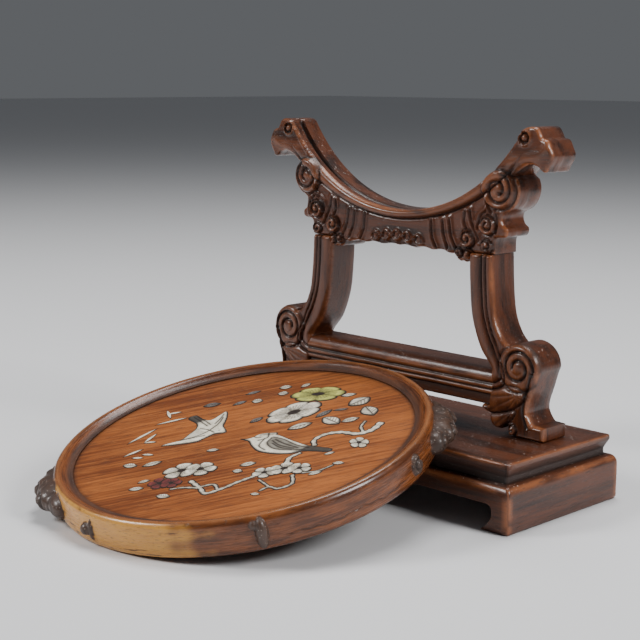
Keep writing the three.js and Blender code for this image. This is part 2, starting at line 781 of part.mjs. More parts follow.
function inlayBody(outlines) {
  const top = panelTop() + inlayProud;
  return joined(outlines.map((outline) => plate(placed(outline), top - inlayThickness, top)));
}

// How far the disc leans, with its front edge on the ground and its underside on the slab's edge.
// Its back edge reaches over the slab to a gap in front of the frame.
function leanAngle() {
  const edge = plinthHeight - slabBevelDrop + clearance;
  const footing = discRadius - footingInset;
  const overSlab = slabFront + frameSetback - discGap;
  let low = 0;
  let high = Math.PI / 3;
  for (let i = 0; i < 40; i += 1) {
    const angle = 0.5 * (low + high);
    const height = (footing + discRadius) * Math.sin(angle) - overSlab * Math.tan(angle);
    if (height < edge) {
      low = angle;
    } else {
      high = angle;
    }
  }
  return 0.5 * (low + high);
}

const plinth = meshOf('plinth', plinthBody(), finishes.rosewood);

const frame = new THREE.Group();
frame.position.set(0, frameSetback, plinthHeight);
frame.add(meshOf('left_leg', legBody(-1), finishes.rosewood));
frame.add(meshOf('right_leg', legBody(1), finishes.rosewood));
frame.add(meshOf('rail', railBody(), finishes.rosewood));
frame.add(meshOf('cradle', cradleBody(), finishes.rosewood));

const disc = new THREE.Group();
disc.add(meshOf('disc_rim', rimBody(), finishes.rimWood));
disc.add(meshOf('disc_panel', panelBody(), finishes.panelWood));
for (const [name, [finish, outlines]] of Object.entries(inlays)) {
  disc.add(meshOf(`inlay_${name}`, inlayBody(outlines), finishes[finish]));
}
const lean = leanAngle();
disc.rotation.x = lean;
const discForward = discRadius * Math.cos(lean) + discGap - frameSetback;
disc.position.set(discSide, -discForward, (discRadius - footingInset) * Math.sin(lean));

const screen = new THREE.Group();
screen.add(plinth, frame, disc);
screen.updateMatrixWorld(true);
const box = new THREE.Box3().setFromObject(screen, true);
const middle = box.getCenter(new THREE.Vector3());
screen.position.set(-middle.x, -middle.y, -box.min.z);

export default screen;
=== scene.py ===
"""Finish of a round rosewood table screen and its stand.

The stand is a block plinth with two scroll legs, a rail and a crescent cradle. The disc is a panel inlaid
with birds and blossom in a moulded rim, and it leans on the plinth's front edge.
Carved faces are worked out in millimetres on the face's own plane: u to the right, v upwards, w outwards.
"""

import logging
import math
from collections.abc import Callable, Sequence
from dataclasses import dataclass, field
from enum import Enum
from functools import reduce

import bpy
import numpy as np
from mathutils import Matrix, Vector, geometry

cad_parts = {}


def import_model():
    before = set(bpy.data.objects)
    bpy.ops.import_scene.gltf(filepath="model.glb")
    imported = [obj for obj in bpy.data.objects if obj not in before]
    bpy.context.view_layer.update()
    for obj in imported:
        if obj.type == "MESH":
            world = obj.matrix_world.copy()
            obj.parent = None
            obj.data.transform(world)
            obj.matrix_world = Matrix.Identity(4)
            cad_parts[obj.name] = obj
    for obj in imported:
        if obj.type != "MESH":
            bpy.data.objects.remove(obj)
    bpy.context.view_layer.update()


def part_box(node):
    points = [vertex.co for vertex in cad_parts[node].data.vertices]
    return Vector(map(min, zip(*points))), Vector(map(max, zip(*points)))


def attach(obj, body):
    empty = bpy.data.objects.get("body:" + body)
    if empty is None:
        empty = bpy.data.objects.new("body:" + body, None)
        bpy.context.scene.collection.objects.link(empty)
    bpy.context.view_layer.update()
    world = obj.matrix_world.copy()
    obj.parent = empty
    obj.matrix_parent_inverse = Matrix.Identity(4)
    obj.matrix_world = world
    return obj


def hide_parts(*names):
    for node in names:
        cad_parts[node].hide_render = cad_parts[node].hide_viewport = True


log = logging.getLogger("table_screen")

MM = 0.001
TINY = 1e-9

# The disc's sizes that its pieces and the cradle share, in millimetres
DISC_RADIUS = 80.0
PANEL_TOP = 11.2
PANEL_THICKNESS = 8.0

# How outlines are filled: a triangle's height for a side of one, the kind of result and the merging distance
TRIANGLE_HEIGHT = 0.866
INSIDE_ONLY = 1
MERGE_DISTANCE = 1e-7

Colour = tuple[float, float, float]
Line = np.ndarray
Place = Callable[[np.ndarray], np.ndarray]


class Grain(Enum):
    """The way the grain of a piece runs on its plane."""

    ALONG = (0, 1, 2)
    UPRIGHT = (1, 0, 2)


# Lines and outlines on a plane


def resampled(points: Sequence, step: float) -> Line:
    """Places points at even steps along a line.

    Args:
        points: the line's own points.
        step: the distance between two new points.

    Returns:
        The new points, with both ends kept.
    """
    points = np.asarray(points, float)
    lengths = np.hypot(*np.diff(points, axis=0).T)
    along = np.concatenate([[0.0], np.cumsum(lengths)])
    count = max(1, round(along[-1] / step))
    marks = np.linspace(0, along[-1], count + 1)
    return np.stack([np.interp(marks, along, points[:, axis]) for axis in range(2)], 1)


def spline(points: Sequence, step: float, closed: bool = False) -> Line:
    """Draws a smooth line through points.

    Args:
        points: the points that it passes through.
        step: the distance between two points of the result.
        closed: whether it returns to its first point.

    Returns:
        The points of the smooth line.
    """
    points = np.asarray(points, float)
    if closed:
        padded = np.concatenate([points[-1:], points, points[:2]])
    else:
        padded = np.concatenate([2 * points[:1] - points[1:2], points, 2 * points[-1:] - points[-2:-1]])
    t = np.linspace(0, 1, 12, endpoint=False)[:, None]
    parts = []
    for a, b, c, d in zip(padded, padded[1:], padded[2:], padded[3:]):
        cubic = (3 * b - a - 3 * c + d) * t**3
        parts.append(0.5 * (2 * b + (c - a) * t + (2 * a - 5 * b + 4 * c - d) * t**2 + cubic))
    parts.append(points[:1] if closed else points[-1:])
    return resampled(np.concatenate(parts), step)


def curve_from(start: Sequence, offsets: Sequence, step: float, closed: bool = False) -> Line:
    """Draws a smooth line through points that are measured from one place."""
    return spline(np.asarray(offsets, float) + start, step, closed)


def spiral(eye: Sequence, radii: tuple[float, float], angles: tuple[float, float], step: float = 0.4) -> Line:
    """Draws an arc or a spiral.

    Args:
        eye: its centre.
        radii: the radius at its start and at its end.
        angles: the angle at its start and at its end, in degrees.
        step: the distance between two points.

    Returns:
        The points of the spiral.
    """
    share = np.linspace(0, 1, 240)
    radius = radii[0] + (radii[1] - radii[0]) * share
    angle = np.radians(angles[0] + (angles[1] - angles[0]) * share)
    return resampled(np.asarray(eye) + np.stack([radius * np.cos(angle), radius * np.sin(angle)], 1), step)


def mirrored(line: Sequence) -> Line:
    """Turns a line left for right."""
    return np.asarray(line, float) * (-1, 1)


def turned(line: Line, degrees: float) -> Line:
    """Turns a line about the plane's origin."""
    angle = math.radians(degrees)
    c, s = math.cos(angle), math.sin(angle)
    return line @ np.array([[c, s], [-s, c]])


def to_the_left(ahead: np.ndarray) -> np.ndarray:
    """Gives the unit vectors square to a line's directions, on their left."""
    return np.stack([-ahead[:, 1], ahead[:, 0]], 1) / np.maximum(np.hypot(*ahead.T), TINY)[:, None]


def distance(points: np.ndarray, line: Line) -> np.ndarray:
    """Measures how far points lie from a line.

    Args:
        points: the points to measure from.
        line: the line's points.

    Returns:
        The shortest distance of each point.
    """
    best = np.full(len(points), np.inf)
    for start, end in zip(line[:-1], line[1:]):
        step = end - start
        share = np.clip((points - start) @ step / max(step @ step, TINY), 0, 1)
        gap = points - start - share[:, None] * step
        best = np.minimum(best, np.hypot(gap[:, 0], gap[:, 1]))
    return best


def inside(points: np.ndarray, outline: Line) -> np.ndarray:
    """Tells which points lie inside an outline."""
    found = np.zeros(len(points), bool)
    for (x0, y0), (x1, y1) in zip(outline, np.roll(outline, -1, 0)):
        if y0 == y1:
            continue
        crosses = (points[:, 1] < y0) != (points[:, 1] < y1)
        found ^= crosses & (points[:, 0] < x0 + (x1 - x0) * (points[:, 1] - y0) / (y1 - y0))
    return found


def end_to_end(*parts: Line) -> Line:
    """Joins lines that each start where the one before ends, without the last point."""
    return np.concatenate([part[:-1] for part in parts])


def closed_loop(outline: Line) -> Line:
    """Repeats an outline's first point at its end."""
    return np.concatenate([outline, outline[:1]])


def eased(value: np.ndarray) -> np.ndarray:
    """Turns a value smoothly from 0 to 1."""
    value = np.clip(value, 0, 1)
    return value * value * (3 - 2 * value)


def ridge(gap: np.ndarray, width: float) -> np.ndarray:
    """Gives the height of a soft ridge of height 1 at a distance from its line."""
    return np.exp(-((gap / width) ** 2))


def pearl(near: np.ndarray, radius: float) -> np.ndarray:
    """Gives the height of a half-ball of height 1 at a distance from its middle."""
    return np.sqrt(np.clip(1 - (near / radius) ** 2, 0, 1))


def dome(share: np.ndarray) -> np.ndarray:
    """Gives the height of a half-round from one side, 0, to the other, 1."""
    return np.sqrt(np.clip(1 - (2 * share - 1) ** 2, 0, 1))


def band(points: np.ndarray, first: Line, second: Line) -> tuple[np.ndarray, np.ndarray]:
    """Finds the strip between two lines that run side by side.

    Args:
        points: the points of a face.
        first: the line on one side.
        second: the line on the other side.

    Returns:
        Which points lie in the strip, and the share of the way across of each.
    """
    within = inside(points, np.concatenate([first, second[::-1]]))
    near, far = distance(points, first), distance(points, second)
    return within, near / np.maximum(near + far, 1e-6)


# Meshes


@dataclass
class Shape:
    """A closed mesh with values at its vertices.

    Attributes:
        vertices: places, in metres once the shape is placed.
        faces: corner numbers of each face.
        values: numbers or vectors at the vertices, by name.
    """

    vertices: np.ndarray
    faces: list
    values: dict[str, np.ndarray] = field(default_factory=dict)

    @classmethod
    def used_up(cls, source: bpy.types.Object, names: Sequence[str] = ()) -> "Shape":
        """Reads an object's mesh after its modifiers, with some of its values, and removes the object."""
        graph = bpy.context.evaluated_depsgraph_get()
        mesh = bpy.data.meshes.new_from_object(source.evaluated_get(graph), depsgraph=graph)
        count = len(mesh.vertices)
        vertices = np.zeros(count * 3)
        mesh.vertices.foreach_get("co", vertices)
        values = {}
        for name in names:
            held = np.zeros(count)
            mesh.attributes[name].data.foreach_get("value", held)
            values[name] = held
        shape = cls(vertices.reshape(-1, 3), [list(face.vertices) for face in mesh.polygons], values)
        bpy.data.meshes.remove(mesh)
        bpy.data.objects.remove(source)
        return shape

    @classmethod
    def lofted(cls, rings: Sequence[np.ndarray]) -> "Shape":
        """Joins rings with the same number of points into a closed shape with flat ends."""
        index = np.arange(len(rings[0]))
        following = np.roll(index, -1)
        faces = [index[::-1].tolist()]
        for row in range(len(rings) - 1):
            low, high = row * len(index), (row + 1) * len(index)
            faces += np.stack([low + index, low + following, high + following, high + index], 1).tolist()
        faces.append((index + (len(rings) - 1) * len(index)).tolist())
        return cls(np.concatenate(rings), faces)

    def facing_out(self) -> "Shape":
        """Turns the faces round where they point inwards, which one corner of each is enough to tell."""
        first, second, last = (self.vertices[[face[at] for face in self.faces]] for at in (0, 1, -1))
        if np.sum(first * np.cross(second, last)) < 0:
            self.faces = [face[::-1] for face in self.faces]
        return self

    def mirrored(self) -> "Shape":
        """Gives the shape turned left for right."""
        values = {name: held.copy() for name, held in self.values.items()}
        return Shape(self.vertices * (-1, 1, 1), [face[::-1] for face in self.faces], values)

    def placed(self, place: Place) -> "Shape":
        """Gives the shape at its place, in metres."""
        return Shape(place(self.vertices), self.faces, self.values)

    def joined(self, other: "Shape") -> "Shape":
        """Gives this shape and another as one."""
        count = len(self.vertices)
        faces = self.faces + [[corner + count for corner in face] for face in other.faces]
        values = {name: np.concatenate([held, other.values[name]]) for name, held in self.values.items()}
        return Shape(np.concatenate([self.vertices, other.vertices]), faces, values)

    def without(self, name: str) -> "Shape":
        """Gives the shape without one of its values."""
        values = {key: held for key, held in self.values.items() if key != name}
        return Shape(self.vertices, self.faces, values)

    def mesh(self, name: str) -> bpy.types.Mesh:
        """Makes a Blender mesh that carries the values as attributes."""
        mesh = bpy.data.meshes.new(name)
        mesh.from_pydata(self.vertices.tolist(), [], self.faces)
        for key, held in self.values.items():
            kind = "FLOAT_VECTOR" if held.ndim == 2 else "FLOAT"
            layer = mesh.attributes.new(key, kind, "POINT")
            layer.data.foreach_set("vector" if held.ndim == 2 else "value", held.astype(np.float32).ravel())
        mesh.update()
        return mesh

    def object(self, name: str) -> bpy.types.Object:
        """Makes an object of the shape and puts it in the scene."""
        made = bpy.data.objects.new(name, self.mesh(name))
        bpy.context.scene.collection.objects.link(made)
        return made


@dataclass(frozen=True)
class Piece:
    """A finished piece's name, its place in the model and its crispness.

    Attributes:
        name: the piece's own name.
        nodes: the solids that it stands for.
        slot: the record's material slot, which this class does not use.
        crease: the angle from which an edge stays sharp, in degrees.
    """

    name: str
    nodes: tuple[str, ...]
    slot: str
    crease: float = 52.0

    def make(self, shape: Shape, material: bpy.types.Material) -> bpy.types.Object:
        """Puts a shape in the scene as this piece.

        Args:
            shape: the piece's mesh, placed in metres.
            material: its finish.

        Returns:
            The piece's object.
        """
        made = shape.facing_out().object(self.name)
        made.data.materials.append(material)
        made.data.shade_smooth()
        made.data.set_sharp_from_angle(angle=math.radians(self.crease))
        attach(made, "root")
        if self.nodes:
            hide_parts(*self.nodes)
        log.info("%s: %d faces", self.name, len(shape.faces))
        return made


def triangulated(points: Line, around: int) -> tuple:
    """Fills the loop of the first points with triangles.

    Args:
        points: the loop's points, and then those inside it.
        around: how many points the loop has.

    Returns:
        Blender's result: places, edges, triangles, and the given points that each place stands for.
    """
    loop = list(range(around))
    return geometry.delaunay_2d_cdt([Vector(p) for p in points], [], [loop], INSIDE_ONLY, MERGE_DISTANCE)


@dataclass
class Sheet:
    """A flat outline filled with triangles.

    Attributes:
        points: all its points, the outline's first.
        triangles: corner numbers.
        outline: how many points the outline has.
        edge: each point's distance to the outline.
    """

    points: np.ndarray
    triangles: list
    outline: int
    edge: np.ndarray

    @classmethod
    def filled(cls, outline: Line, spacing: float) -> "Sheet":
        """Fills an outline with evenly spaced triangles.

        Args:
            outline: its edge, without a repeated end.
            spacing: the distance between two points.

        Returns:
            The filled sheet.
        """
        shortest, clearance = 0.02 * min(spacing, 1.0), 0.6 * spacing
        gaps = np.hypot(*(outline - np.roll(outline, 1, 0)).T)
        outline = outline[gaps > shortest]
        x, y = outline.T
        if np.sum(x * np.roll(y, -1) - np.roll(x, -1) * y) < 0:
            outline = outline[::-1]
        low, high = outline.min(0), outline.max(0)
        rows = []
        for i, v in enumerate(np.arange(low[1], high[1], TRIANGLE_HEIGHT * spacing)):
            across = np.arange(low[0] + 0.5 * spacing * (i % 2), high[0], spacing)
            rows.append(np.column_stack([across, np.full(len(across), v)]))
        grid = np.concatenate(rows)
        grid = grid[inside(grid, outline)]
        inner = grid[distance(grid, closed_loop(outline)) > clearance]
        count = len(outline)
        places, _, faces, sources = triangulated(np.concatenate([outline, inner]), count)[:4]
        given = {source: number for number, merged in enumerate(sources) for source in merged}
        order = [given[i] for i in range(count)]
        on_loop = set(order)
        order += [i for i in range(len(places)) if i not in on_loop]
        number = {old: new for new, old in enumerate(order)}
        points = np.array([places[old][:] for old in order])
        triangles = [[number[corner] for corner in face] for face in faces]
        edge = np.concatenate([np.zeros(count), distance(points[count:], closed_loop(outline))])
        return cls(points, triangles, count, edge)


@dataclass(frozen=True)
class WallRow:
    """A row of points round a board's wall.

    Attributes:
        level: its place along w.
        inset: how far it lies inside the outline.
        channel: how far it lies further inside where the wall is channelled.
    """

    level: float
    inset: float = 0.0
    channel: float = 0.0


@dataclass
class Board:
    """A board with a carved face.

    Attributes:
        outline: its edge, seen from the front.
        spacing: the distance between two points of the carved face.
        rounding: the radius of the front arris.
        rows: the wall's rows, from the front to the back.
        grain: the way the grain runs.
    """

    outline: Line
    spacing: float
    rounding: float
    rows: Sequence[WallRow]
    grain: Grain = Grain.ALONG

    def shape(self, carve: Callable[[np.ndarray], dict], channel: Callable | None = None) -> Shape:
        """Builds the board.

        Args:
            carve: gives a face's height and other values at its points.
            channel: gives the share of the wall's channel at points of the outline.

        Returns:
            The board on its own plane.
        """
        sheet = Sheet.filled(self.outline, self.spacing)
        carved = carve(sheet.points)
        height = carved.pop("height")
        left = np.clip(self.rounding - sheet.edge, 0, self.rounding)
        drop = self.rounding - np.sqrt(self.rounding**2 - left**2)
        front = np.column_stack([sheet.points, height - drop])
        loop = sheet.points[: sheet.outline]
        inwards = to_the_left(np.roll(loop, -1, 0) - np.roll(loop, 1, 0))
        share = channel(loop) if channel else np.zeros(len(loop))
        rings = []
        for row in self.rows:
            offset = (row.inset + row.channel * share)[:, None] * inwards
            rings.append(np.column_stack([loop + offset, np.full(len(loop), row.level)]))
        count, around = len(front), len(loop)
        faces = [list(face) for face in sheet.triangles]
        upper = np.arange(around)
        following = np.roll(upper, -1)
        for i in range(len(rings)):
            lower = count + i * around + np.arange(around)
            faces += np.stack([lower, lower[following], upper[following], upper], 1).tolist()
            upper = lower
        back = triangulated(loop, around)
        source = [sources[0] for sources in back[3]]
        faces += [[int(upper[source[corner]]) for corner in face[::-1]] for face in back[2]]
        points = np.concatenate([front, *rings])
        values = {}
        for name, held in carved.items():
            wall = np.full(around, 1.0 if name == "ink" else 0.0)
            values[name] = np.concatenate([held] + [wall] * len(rings))
        # The channelled rows of the wall are marked for painted shade.
        if channel:
            deep = [np.full(around, min(1.0, row.channel)) * share for row in self.rows]
            values["cavity"] = np.maximum(values["cavity"], np.concatenate([np.zeros(count), *deep]))
        values["grain"] = points[:, list(self.grain.value)]
        return Shape(points, faces, values)


# Geometry Nodes


class Nodes:
    """A node tree, and a way to add nodes to it with their settings and inputs."""

    def __init__(self, tree: bpy.types.NodeTree) -> None:
        """Takes the tree."""
        self.tree = tree

    def node(self, kind: str, settings: dict | None = None, inputs: dict | None = None) -> bpy.types.Node:
        """Adds a node.

        Args:
            kind: the node's type.
            settings: its own settings, set first.
            inputs: values or links of its sockets.

        Returns:
            The node.
        """
        made = self.tree.nodes.new(kind)
        for name, value in (settings or {}).items():
            setattr(made, name, value)
        for name, value in (inputs or {}).items():
            self.put(made.inputs[name], value)
        return made

    def put(self, socket: bpy.types.NodeSocket, value: object) -> None:
        """Gives a socket a value, a colour or a link."""
        if isinstance(value, Value):
            value = value.socket
        if isinstance(value, bpy.types.NodeSocket):
            self.tree.links.new(value, socket)
        elif isinstance(value, tuple) and len(value) < len(getattr(socket, "default_value", value)):
            socket.default_value = (*value, 1.0)
        else:
            socket.default_value = value


class Tree(Nodes):
    """A Geometry Nodes tree that a piece is made with."""

    def __init__(self, name: str) -> None:
        """Starts a tree with a geometry input and output."""
        super().__init__(bpy.data.node_groups.new(name, "GeometryNodeTree"))
        self.inputs: dict[str, str] = {}
        self.entry = self.node("NodeGroupInput")
        self.exit = self.node("NodeGroupOutput")
        self.add_input("Geometry", "NodeSocketGeometry")
        self.tree.interface.new_socket("Geometry", in_out="OUTPUT", socket_type="NodeSocketGeometry")

    def add_input(self, name: str, kind: str) -> bpy.types.NodeSocket:
        """Adds a named input and gives its socket."""
        made = self.tree.interface.new_socket(name, in_out="INPUT", socket_type=kind)
        self.inputs[name] = made.identifier
        return self.entry.outputs[name]

    def close(self, geometry_socket: bpy.types.NodeSocket, material: bpy.types.Material) -> None:
        """Ends the tree with real geometry that has its material."""
        real = self.node("GeometryNodeRealizeInstances", inputs={"Geometry": geometry_socket})
        given = {"Geometry": real.outputs["Geometry"], "Material": material}
        dressed = self.node("GeometryNodeSetMaterial", inputs=given)
        self.put(self.exit.inputs["Geometry"], dressed.outputs["Geometry"])

    def result(self, source: bpy.types.Object, values: dict, names: Sequence[str] = ()) -> Shape:
        """Runs the tree on an object, which it uses up.

        Args:
            source: the object whose geometry goes in.
            values: the tree's inputs, by name.
            names: the values to read from the result.

        Returns:
            The result as a plain shape.
        """
        modifier = source.modifiers.new("build", "NODES")
        modifier.node_group = self.tree
        for name, value in values.items():
            modifier[self.inputs[name]] = value
        return Shape.used_up(source, names)


def profile_object(points: Line) -> bpy.types.Object:
    """Makes a closed curve object of a moulding's profile."""
    curve = bpy.data.curves.new("profile", "CURVE")
    curve.dimensions = "3D"
    run = curve.splines.new("POLY")
    run.points.add(len(points) - 1)
    for point, (x, y) in zip(run.points, points):
        point.co = (x, y, 0, 1)
    run.use_cyclic_u = True
    made = bpy.data.objects.new("profile", curve)
    bpy.context.scene.collection.objects.link(made)
    return made


def ring_moulding(material: bpy.types.Material) -> Tree:
    """Builds the tree that sweeps a profile round a circle."""
    tree = Tree("ring_moulding")
    radius = tree.add_input("Radius", "NodeSocketFloat")
    steps = tree.add_input("Steps", "NodeSocketInt")
    path = tree.node("GeometryNodeCurvePrimitiveCircle", inputs={"Radius": radius, "Resolution": steps})
    given = {"Curve": path.outputs["Curve"], "Profile Curve": tree.entry.outputs["Geometry"]}
    tree.close(tree.node("GeometryNodeCurveToMesh", inputs=given).outputs["Mesh"], material)
    return tree


def bar_moulding(material: bpy.types.Material) -> Tree:
    """Builds the tree that sweeps a profile along a straight bar."""
    tree = Tree("bar_moulding")
    start, end = (tree.add_input(name, "NodeSocketVector") for name in ("Start", "End"))
    steps = tree.add_input("Steps", "NodeSocketInt")
    path = tree.node("GeometryNodeCurvePrimitiveLine", inputs={"Start": start, "End": end})
    fine = tree.node("GeometryNodeResampleCurve", inputs={"Curve": path.outputs["Curve"], "Count": steps})
    profile = tree.entry.outputs["Geometry"]
    given = {"Curve": fine.outputs["Curve"], "Profile Curve": profile, "Fill Caps": True}
    tree.close(tree.node("GeometryNodeCurveToMesh", inputs=given).outputs["Mesh"], material)
    return tree


def laid_out(material: bpy.types.Material) -> Tree:
    """Builds the tree that lays copies of one shape on points, each at its own turn and size."""
    tree = Tree("laid_out")
    pattern = tree.add_input("Pattern", "NodeSocketObject")
    info = tree.node("GeometryNodeObjectInfo", inputs={"Object": pattern})
    given = {"Points": tree.entry.outputs["Geometry"], "Instance": info.outputs["Geometry"]}
    for name, socket in (("turn", "Rotation"), ("size", "Scale")):
        read = tree.node("GeometryNodeInputNamedAttribute", {"data_type": "FLOAT_VECTOR"}, {"Name": name})
        given[socket] = read.outputs["Attribute"]
    laid = tree.node("GeometryNodeInstanceOnPoints", inputs=given)
    tree.close(laid.outputs["Instances"], material)
    return tree


def petal_ring(material: bpy.types.Material) -> Tree:
    """Builds the tree that turns one petal round a flower's middle."""
    tree = Tree("petal_ring")
    hub_radius = 0.0001
    petals = tree.add_input("Petals", "NodeSocketInt")
    size, turn, place = (tree.add_input(name, "NodeSocketVector") for name in ("Size", "Turn", "Place"))
    hub = tree.node("GeometryNodeMeshCircle", inputs={"Vertices": petals, "Radius": hub_radius})
    index = tree.node("GeometryNodeInputIndex")
    share = tree.node("ShaderNodeMath", {"operation": "DIVIDE"}, {0: index.outputs["Index"], 1: petals})
    angle = tree.node("ShaderNodeMath", {"operation": "MULTIPLY"}, {0: share.outputs[0], 1: math.tau})
    turns = tree.node("ShaderNodeCombineXYZ", inputs={"Z": angle.outputs[0]})
    given = {"Points": hub.outputs["Mesh"], "Instance": tree.entry.outputs["Geometry"]}
    laid = tree.node("GeometryNodeInstanceOnPoints", inputs=given | {"Rotation": turns.outputs["Vector"]})
    given = {"Geometry": laid.outputs["Instances"], "Translation": place, "Rotation": turn, "Scale": size}
    tree.close(tree.node("GeometryNodeTransform", inputs=given).outputs["Geometry"], material)
    return tree


# Finishes


class Value:
    """A number that varies over a surface. Its operators add Math nodes."""

    def __init__(self, shader: "Shader", socket: bpy.types.NodeSocket) -> None:
        """Wraps a socket of a shader's tree."""
        self.shader = shader
        self.socket = socket

    def __add__(self, other: "Value | float") -> "Value":
        """Adds."""
        return self.shader.math("ADD", self, other)

    def __sub__(self, other: "Value | float") -> "Value":
        """Takes away."""
        return self.shader.math("SUBTRACT", self, other)

    def __rsub__(self, other: float) -> "Value":
        """Takes this away from a number."""
        return self.shader.math("SUBTRACT", other, self)

    def __mul__(self, other: "Value | float") -> "Value":
        """Multiplies."""
        return self.shader.math("MULTIPLY", self, other)

    __radd__ = __add__
    __rmul__ = __mul__

    def between(self, low: float, high: float) -> "Value":
        """Gives 0 below a value and 1 above another, smoothly."""
        made = self.shader.node(
            "ShaderNodeMapRange",
            {"interpolation_type": "SMOOTHSTEP"},
            {"Value": self, "From Min": low, "From Max": high},
        )
        return Value(self.shader, made.outputs["Result"])


class Shader(Nodes):
    """A procedural material on a Principled surface."""

    def __init__(self, name: str) -> None:
        """Starts an empty material."""
        self.material = bpy.data.materials.new(name)
        self.material.use_nodes = True
        super().__init__(self.material.node_tree)
        self.tree.nodes.clear()
        self.surface = self.node("ShaderNodeBsdfPrincipled")
        self.node("ShaderNodeOutputMaterial", inputs={"Surface": self.surface.outputs["BSDF"]})

    def math(self, operation: str, *values: "Value | float") -> Value:
        """Adds a Math node."""
        made = self.node("ShaderNodeMath", {"operation": operation}, dict(enumerate(values)))
        return Value(self, made.outputs[0])

    def blend(self, factor: Value | float, first: object, second: object) -> bpy.types.NodeSocket:
        """Mixes two colours."""
        made = self.node("ShaderNodeMix", {"data_type": "RGBA"}, {0: factor, 6: first, 7: second})
        return made.outputs[2]

    def attribute(self, name: str) -> Value:
        """Reads a number that the piece's mesh carries."""
        return Value(self, self.node("ShaderNodeAttribute", {"attribute_name": name}).outputs["Fac"])

    def grain(self) -> bpy.types.NodeSocket:
        """Reads the mesh's place in its own wood, in millimetres."""
        return self.node("ShaderNodeAttribute", {"attribute_name": "grain"}).outputs["Vector"]

    def noise(self, stretch: Colour, detail: float = 2.0, shift: float = 0.0) -> Value:
        """Draws noise in the piece's own wood.

        Args:
            stretch: cycles per millimetre along the grain and across it both ways.
            detail: how fine its smallest waves are.
            shift: a number that gives each use its own pattern.

        Returns:
            The noise, around a half.
        """
        scaled = self.node("ShaderNodeVectorMath", {"operation": "MULTIPLY"}, {0: self.grain(), 1: stretch})
        given = {0: scaled.outputs[0], 1: (shift,) * 3}
        moved = self.node("ShaderNodeVectorMath", {"operation": "ADD"}, given)
        given = {"Vector": moved.outputs[0], "Scale": 1.0, "Detail": detail}
        return Value(self, self.node("ShaderNodeTexNoise", inputs=given).outputs["Fac"])

    def specks(self, spacing: float, size: float, share: float) -> Value:
        """Scatters round specks.

        Args:
            spacing: the distance between two, in millimetres.
            size: a speck's radius, in millimetres.
            share: how many places have one, from 0 to 1.

        Returns:
            One in a speck and zero outside.
        """
        made = self.node("ShaderNodeTexVoronoi", inputs={"Vector": self.grain(), "Scale": 1 / spacing})
        draw = self.node("ShaderNodeSeparateXYZ", inputs={0: made.outputs["Color"]})
        reach = Value(self, made.outputs["Distance"]) * spacing
        soft = 0.02
        chosen = Value(self, draw.outputs["X"]).between(1 - share, 1 + soft - share)
        return (1 - reach.between(0.7 * size, size)) * chosen

    def upward(self) -> Value:
        """Gives how far the surface faces up."""
        made = self.node("ShaderNodeNewGeometry")
        parts = self.node("ShaderNodeSeparateXYZ", inputs={0: made.outputs["Normal"]})
        return Value(self, parts.outputs["Z"])

    def bump(self, height: Value, depth: float) -> bpy.types.NodeSocket:
        """Turns a height into a normal, with its depth in metres."""
        made = self.node("ShaderNodeBump", inputs={"Height": height, "Distance": depth, "Strength": 1.0})
        return made.outputs["Normal"]

    def done(self, colour: object, roughness: object, normal: object, **plain: float) -> bpy.types.Material:
        """Sets the surface.

        Args:
            colour: its base colour.
            roughness: its roughness.
            normal: its normal.
            plain: the other sockets' values, the same all over.

        Returns:
            The material.
        """
        sockets = self.surface.inputs
        self.put(sockets["Base Color"], colour)
        self.put(sockets["Roughness"], roughness)
        self.put(sockets["Normal"], normal)
        for name, value in plain.items():
            sockets[name.replace("_", " ").title().replace("Ior", "IOR")].default_value = value
        return self.material


@dataclass(frozen=True)
class Rosewood:
    """Dark polished rosewood with black figure, fine pores, painted shade in its hollows and dust on what
    faces up.

    Attributes:
        name: the material's name.
        dark: the colour of the figure's black bands.
        red: the colour between them.
        worn: the colour where handling has rubbed the arrises.
        pore_and_hollow_shade: the colour of the open pores, and of the shade painted into the hollows.
        speck: the colour of dust.
        dust: how much dust lies on what faces up.
        rough: the polished roughness.
        relief: the depth of the grain, in metres.
    """

    name: str = "rosewood"
    dark: Colour = (0.021, 0.0065, 0.0032)
    red: Colour = (0.095, 0.026, 0.0088)
    worn: Colour = (0.3, 0.1, 0.036)
    pore_and_hollow_shade: Colour = (0.006, 0.003, 0.002)
    speck: Colour = (0.72, 0.62, 0.55)
    dust: float = 0.55
    rough: float = 0.29
    relief: float = 0.00005

    def material(self) -> bpy.types.Material:
        """Builds the finish."""
        shader = Shader(self.name)
        figure = shader.noise((0.012, 0.16, 0.16), 3.0)
        fine = shader.noise((0.05, 1.3, 1.3), 2.0, 7.0)
        pores = shader.noise((0.22, 3.6, 3.6), 1.0, 31.0)
        cavity = shader.attribute("cavity")
        rubbed = shader.attribute("worn") * shader.noise((0.06, 0.16, 0.16), 3.0, 3.0).between(0.3, 0.6)
        base = shader.blend((figure * 0.75 + fine * 0.35).between(0.36, 0.64), self.dark, self.red)
        base = shader.blend(rubbed * 0.85, base, self.worn)
        open_pores = pores.between(0.60, 0.70)
        base = shader.blend(open_pores * 0.6, base, self.pore_and_hollow_shade)
        # Painted shade: the hollows that the cavity value marks are darkened almost to black.
        base = shader.blend(cavity * 0.82, base, self.pore_and_hollow_shade)
        patches = shader.noise((0.09, 0.09, 0.09), 2.0, 63.0).between(0.38, 0.62)
        specks = shader.specks(1.5, 0.32, 0.6) * (patches * 0.8 + 0.2)
        lying = specks * (shader.upward().between(0.3, 0.9) * 0.9 + 0.1) * self.dust
        base = shader.blend(lying, base, self.speck)
        rough = fine * 0.12 + cavity * 0.3 + lying * 0.4 + open_pores * 0.12 + (self.rough - 0.05)
        normal = shader.bump(fine * 0.35 - open_pores * 0.9 + lying * 0.6, self.relief)
        return shader.done(
            base, rough, normal, specular_ior_level=0.42, coat_weight=0.18, coat_roughness=0.14
        )


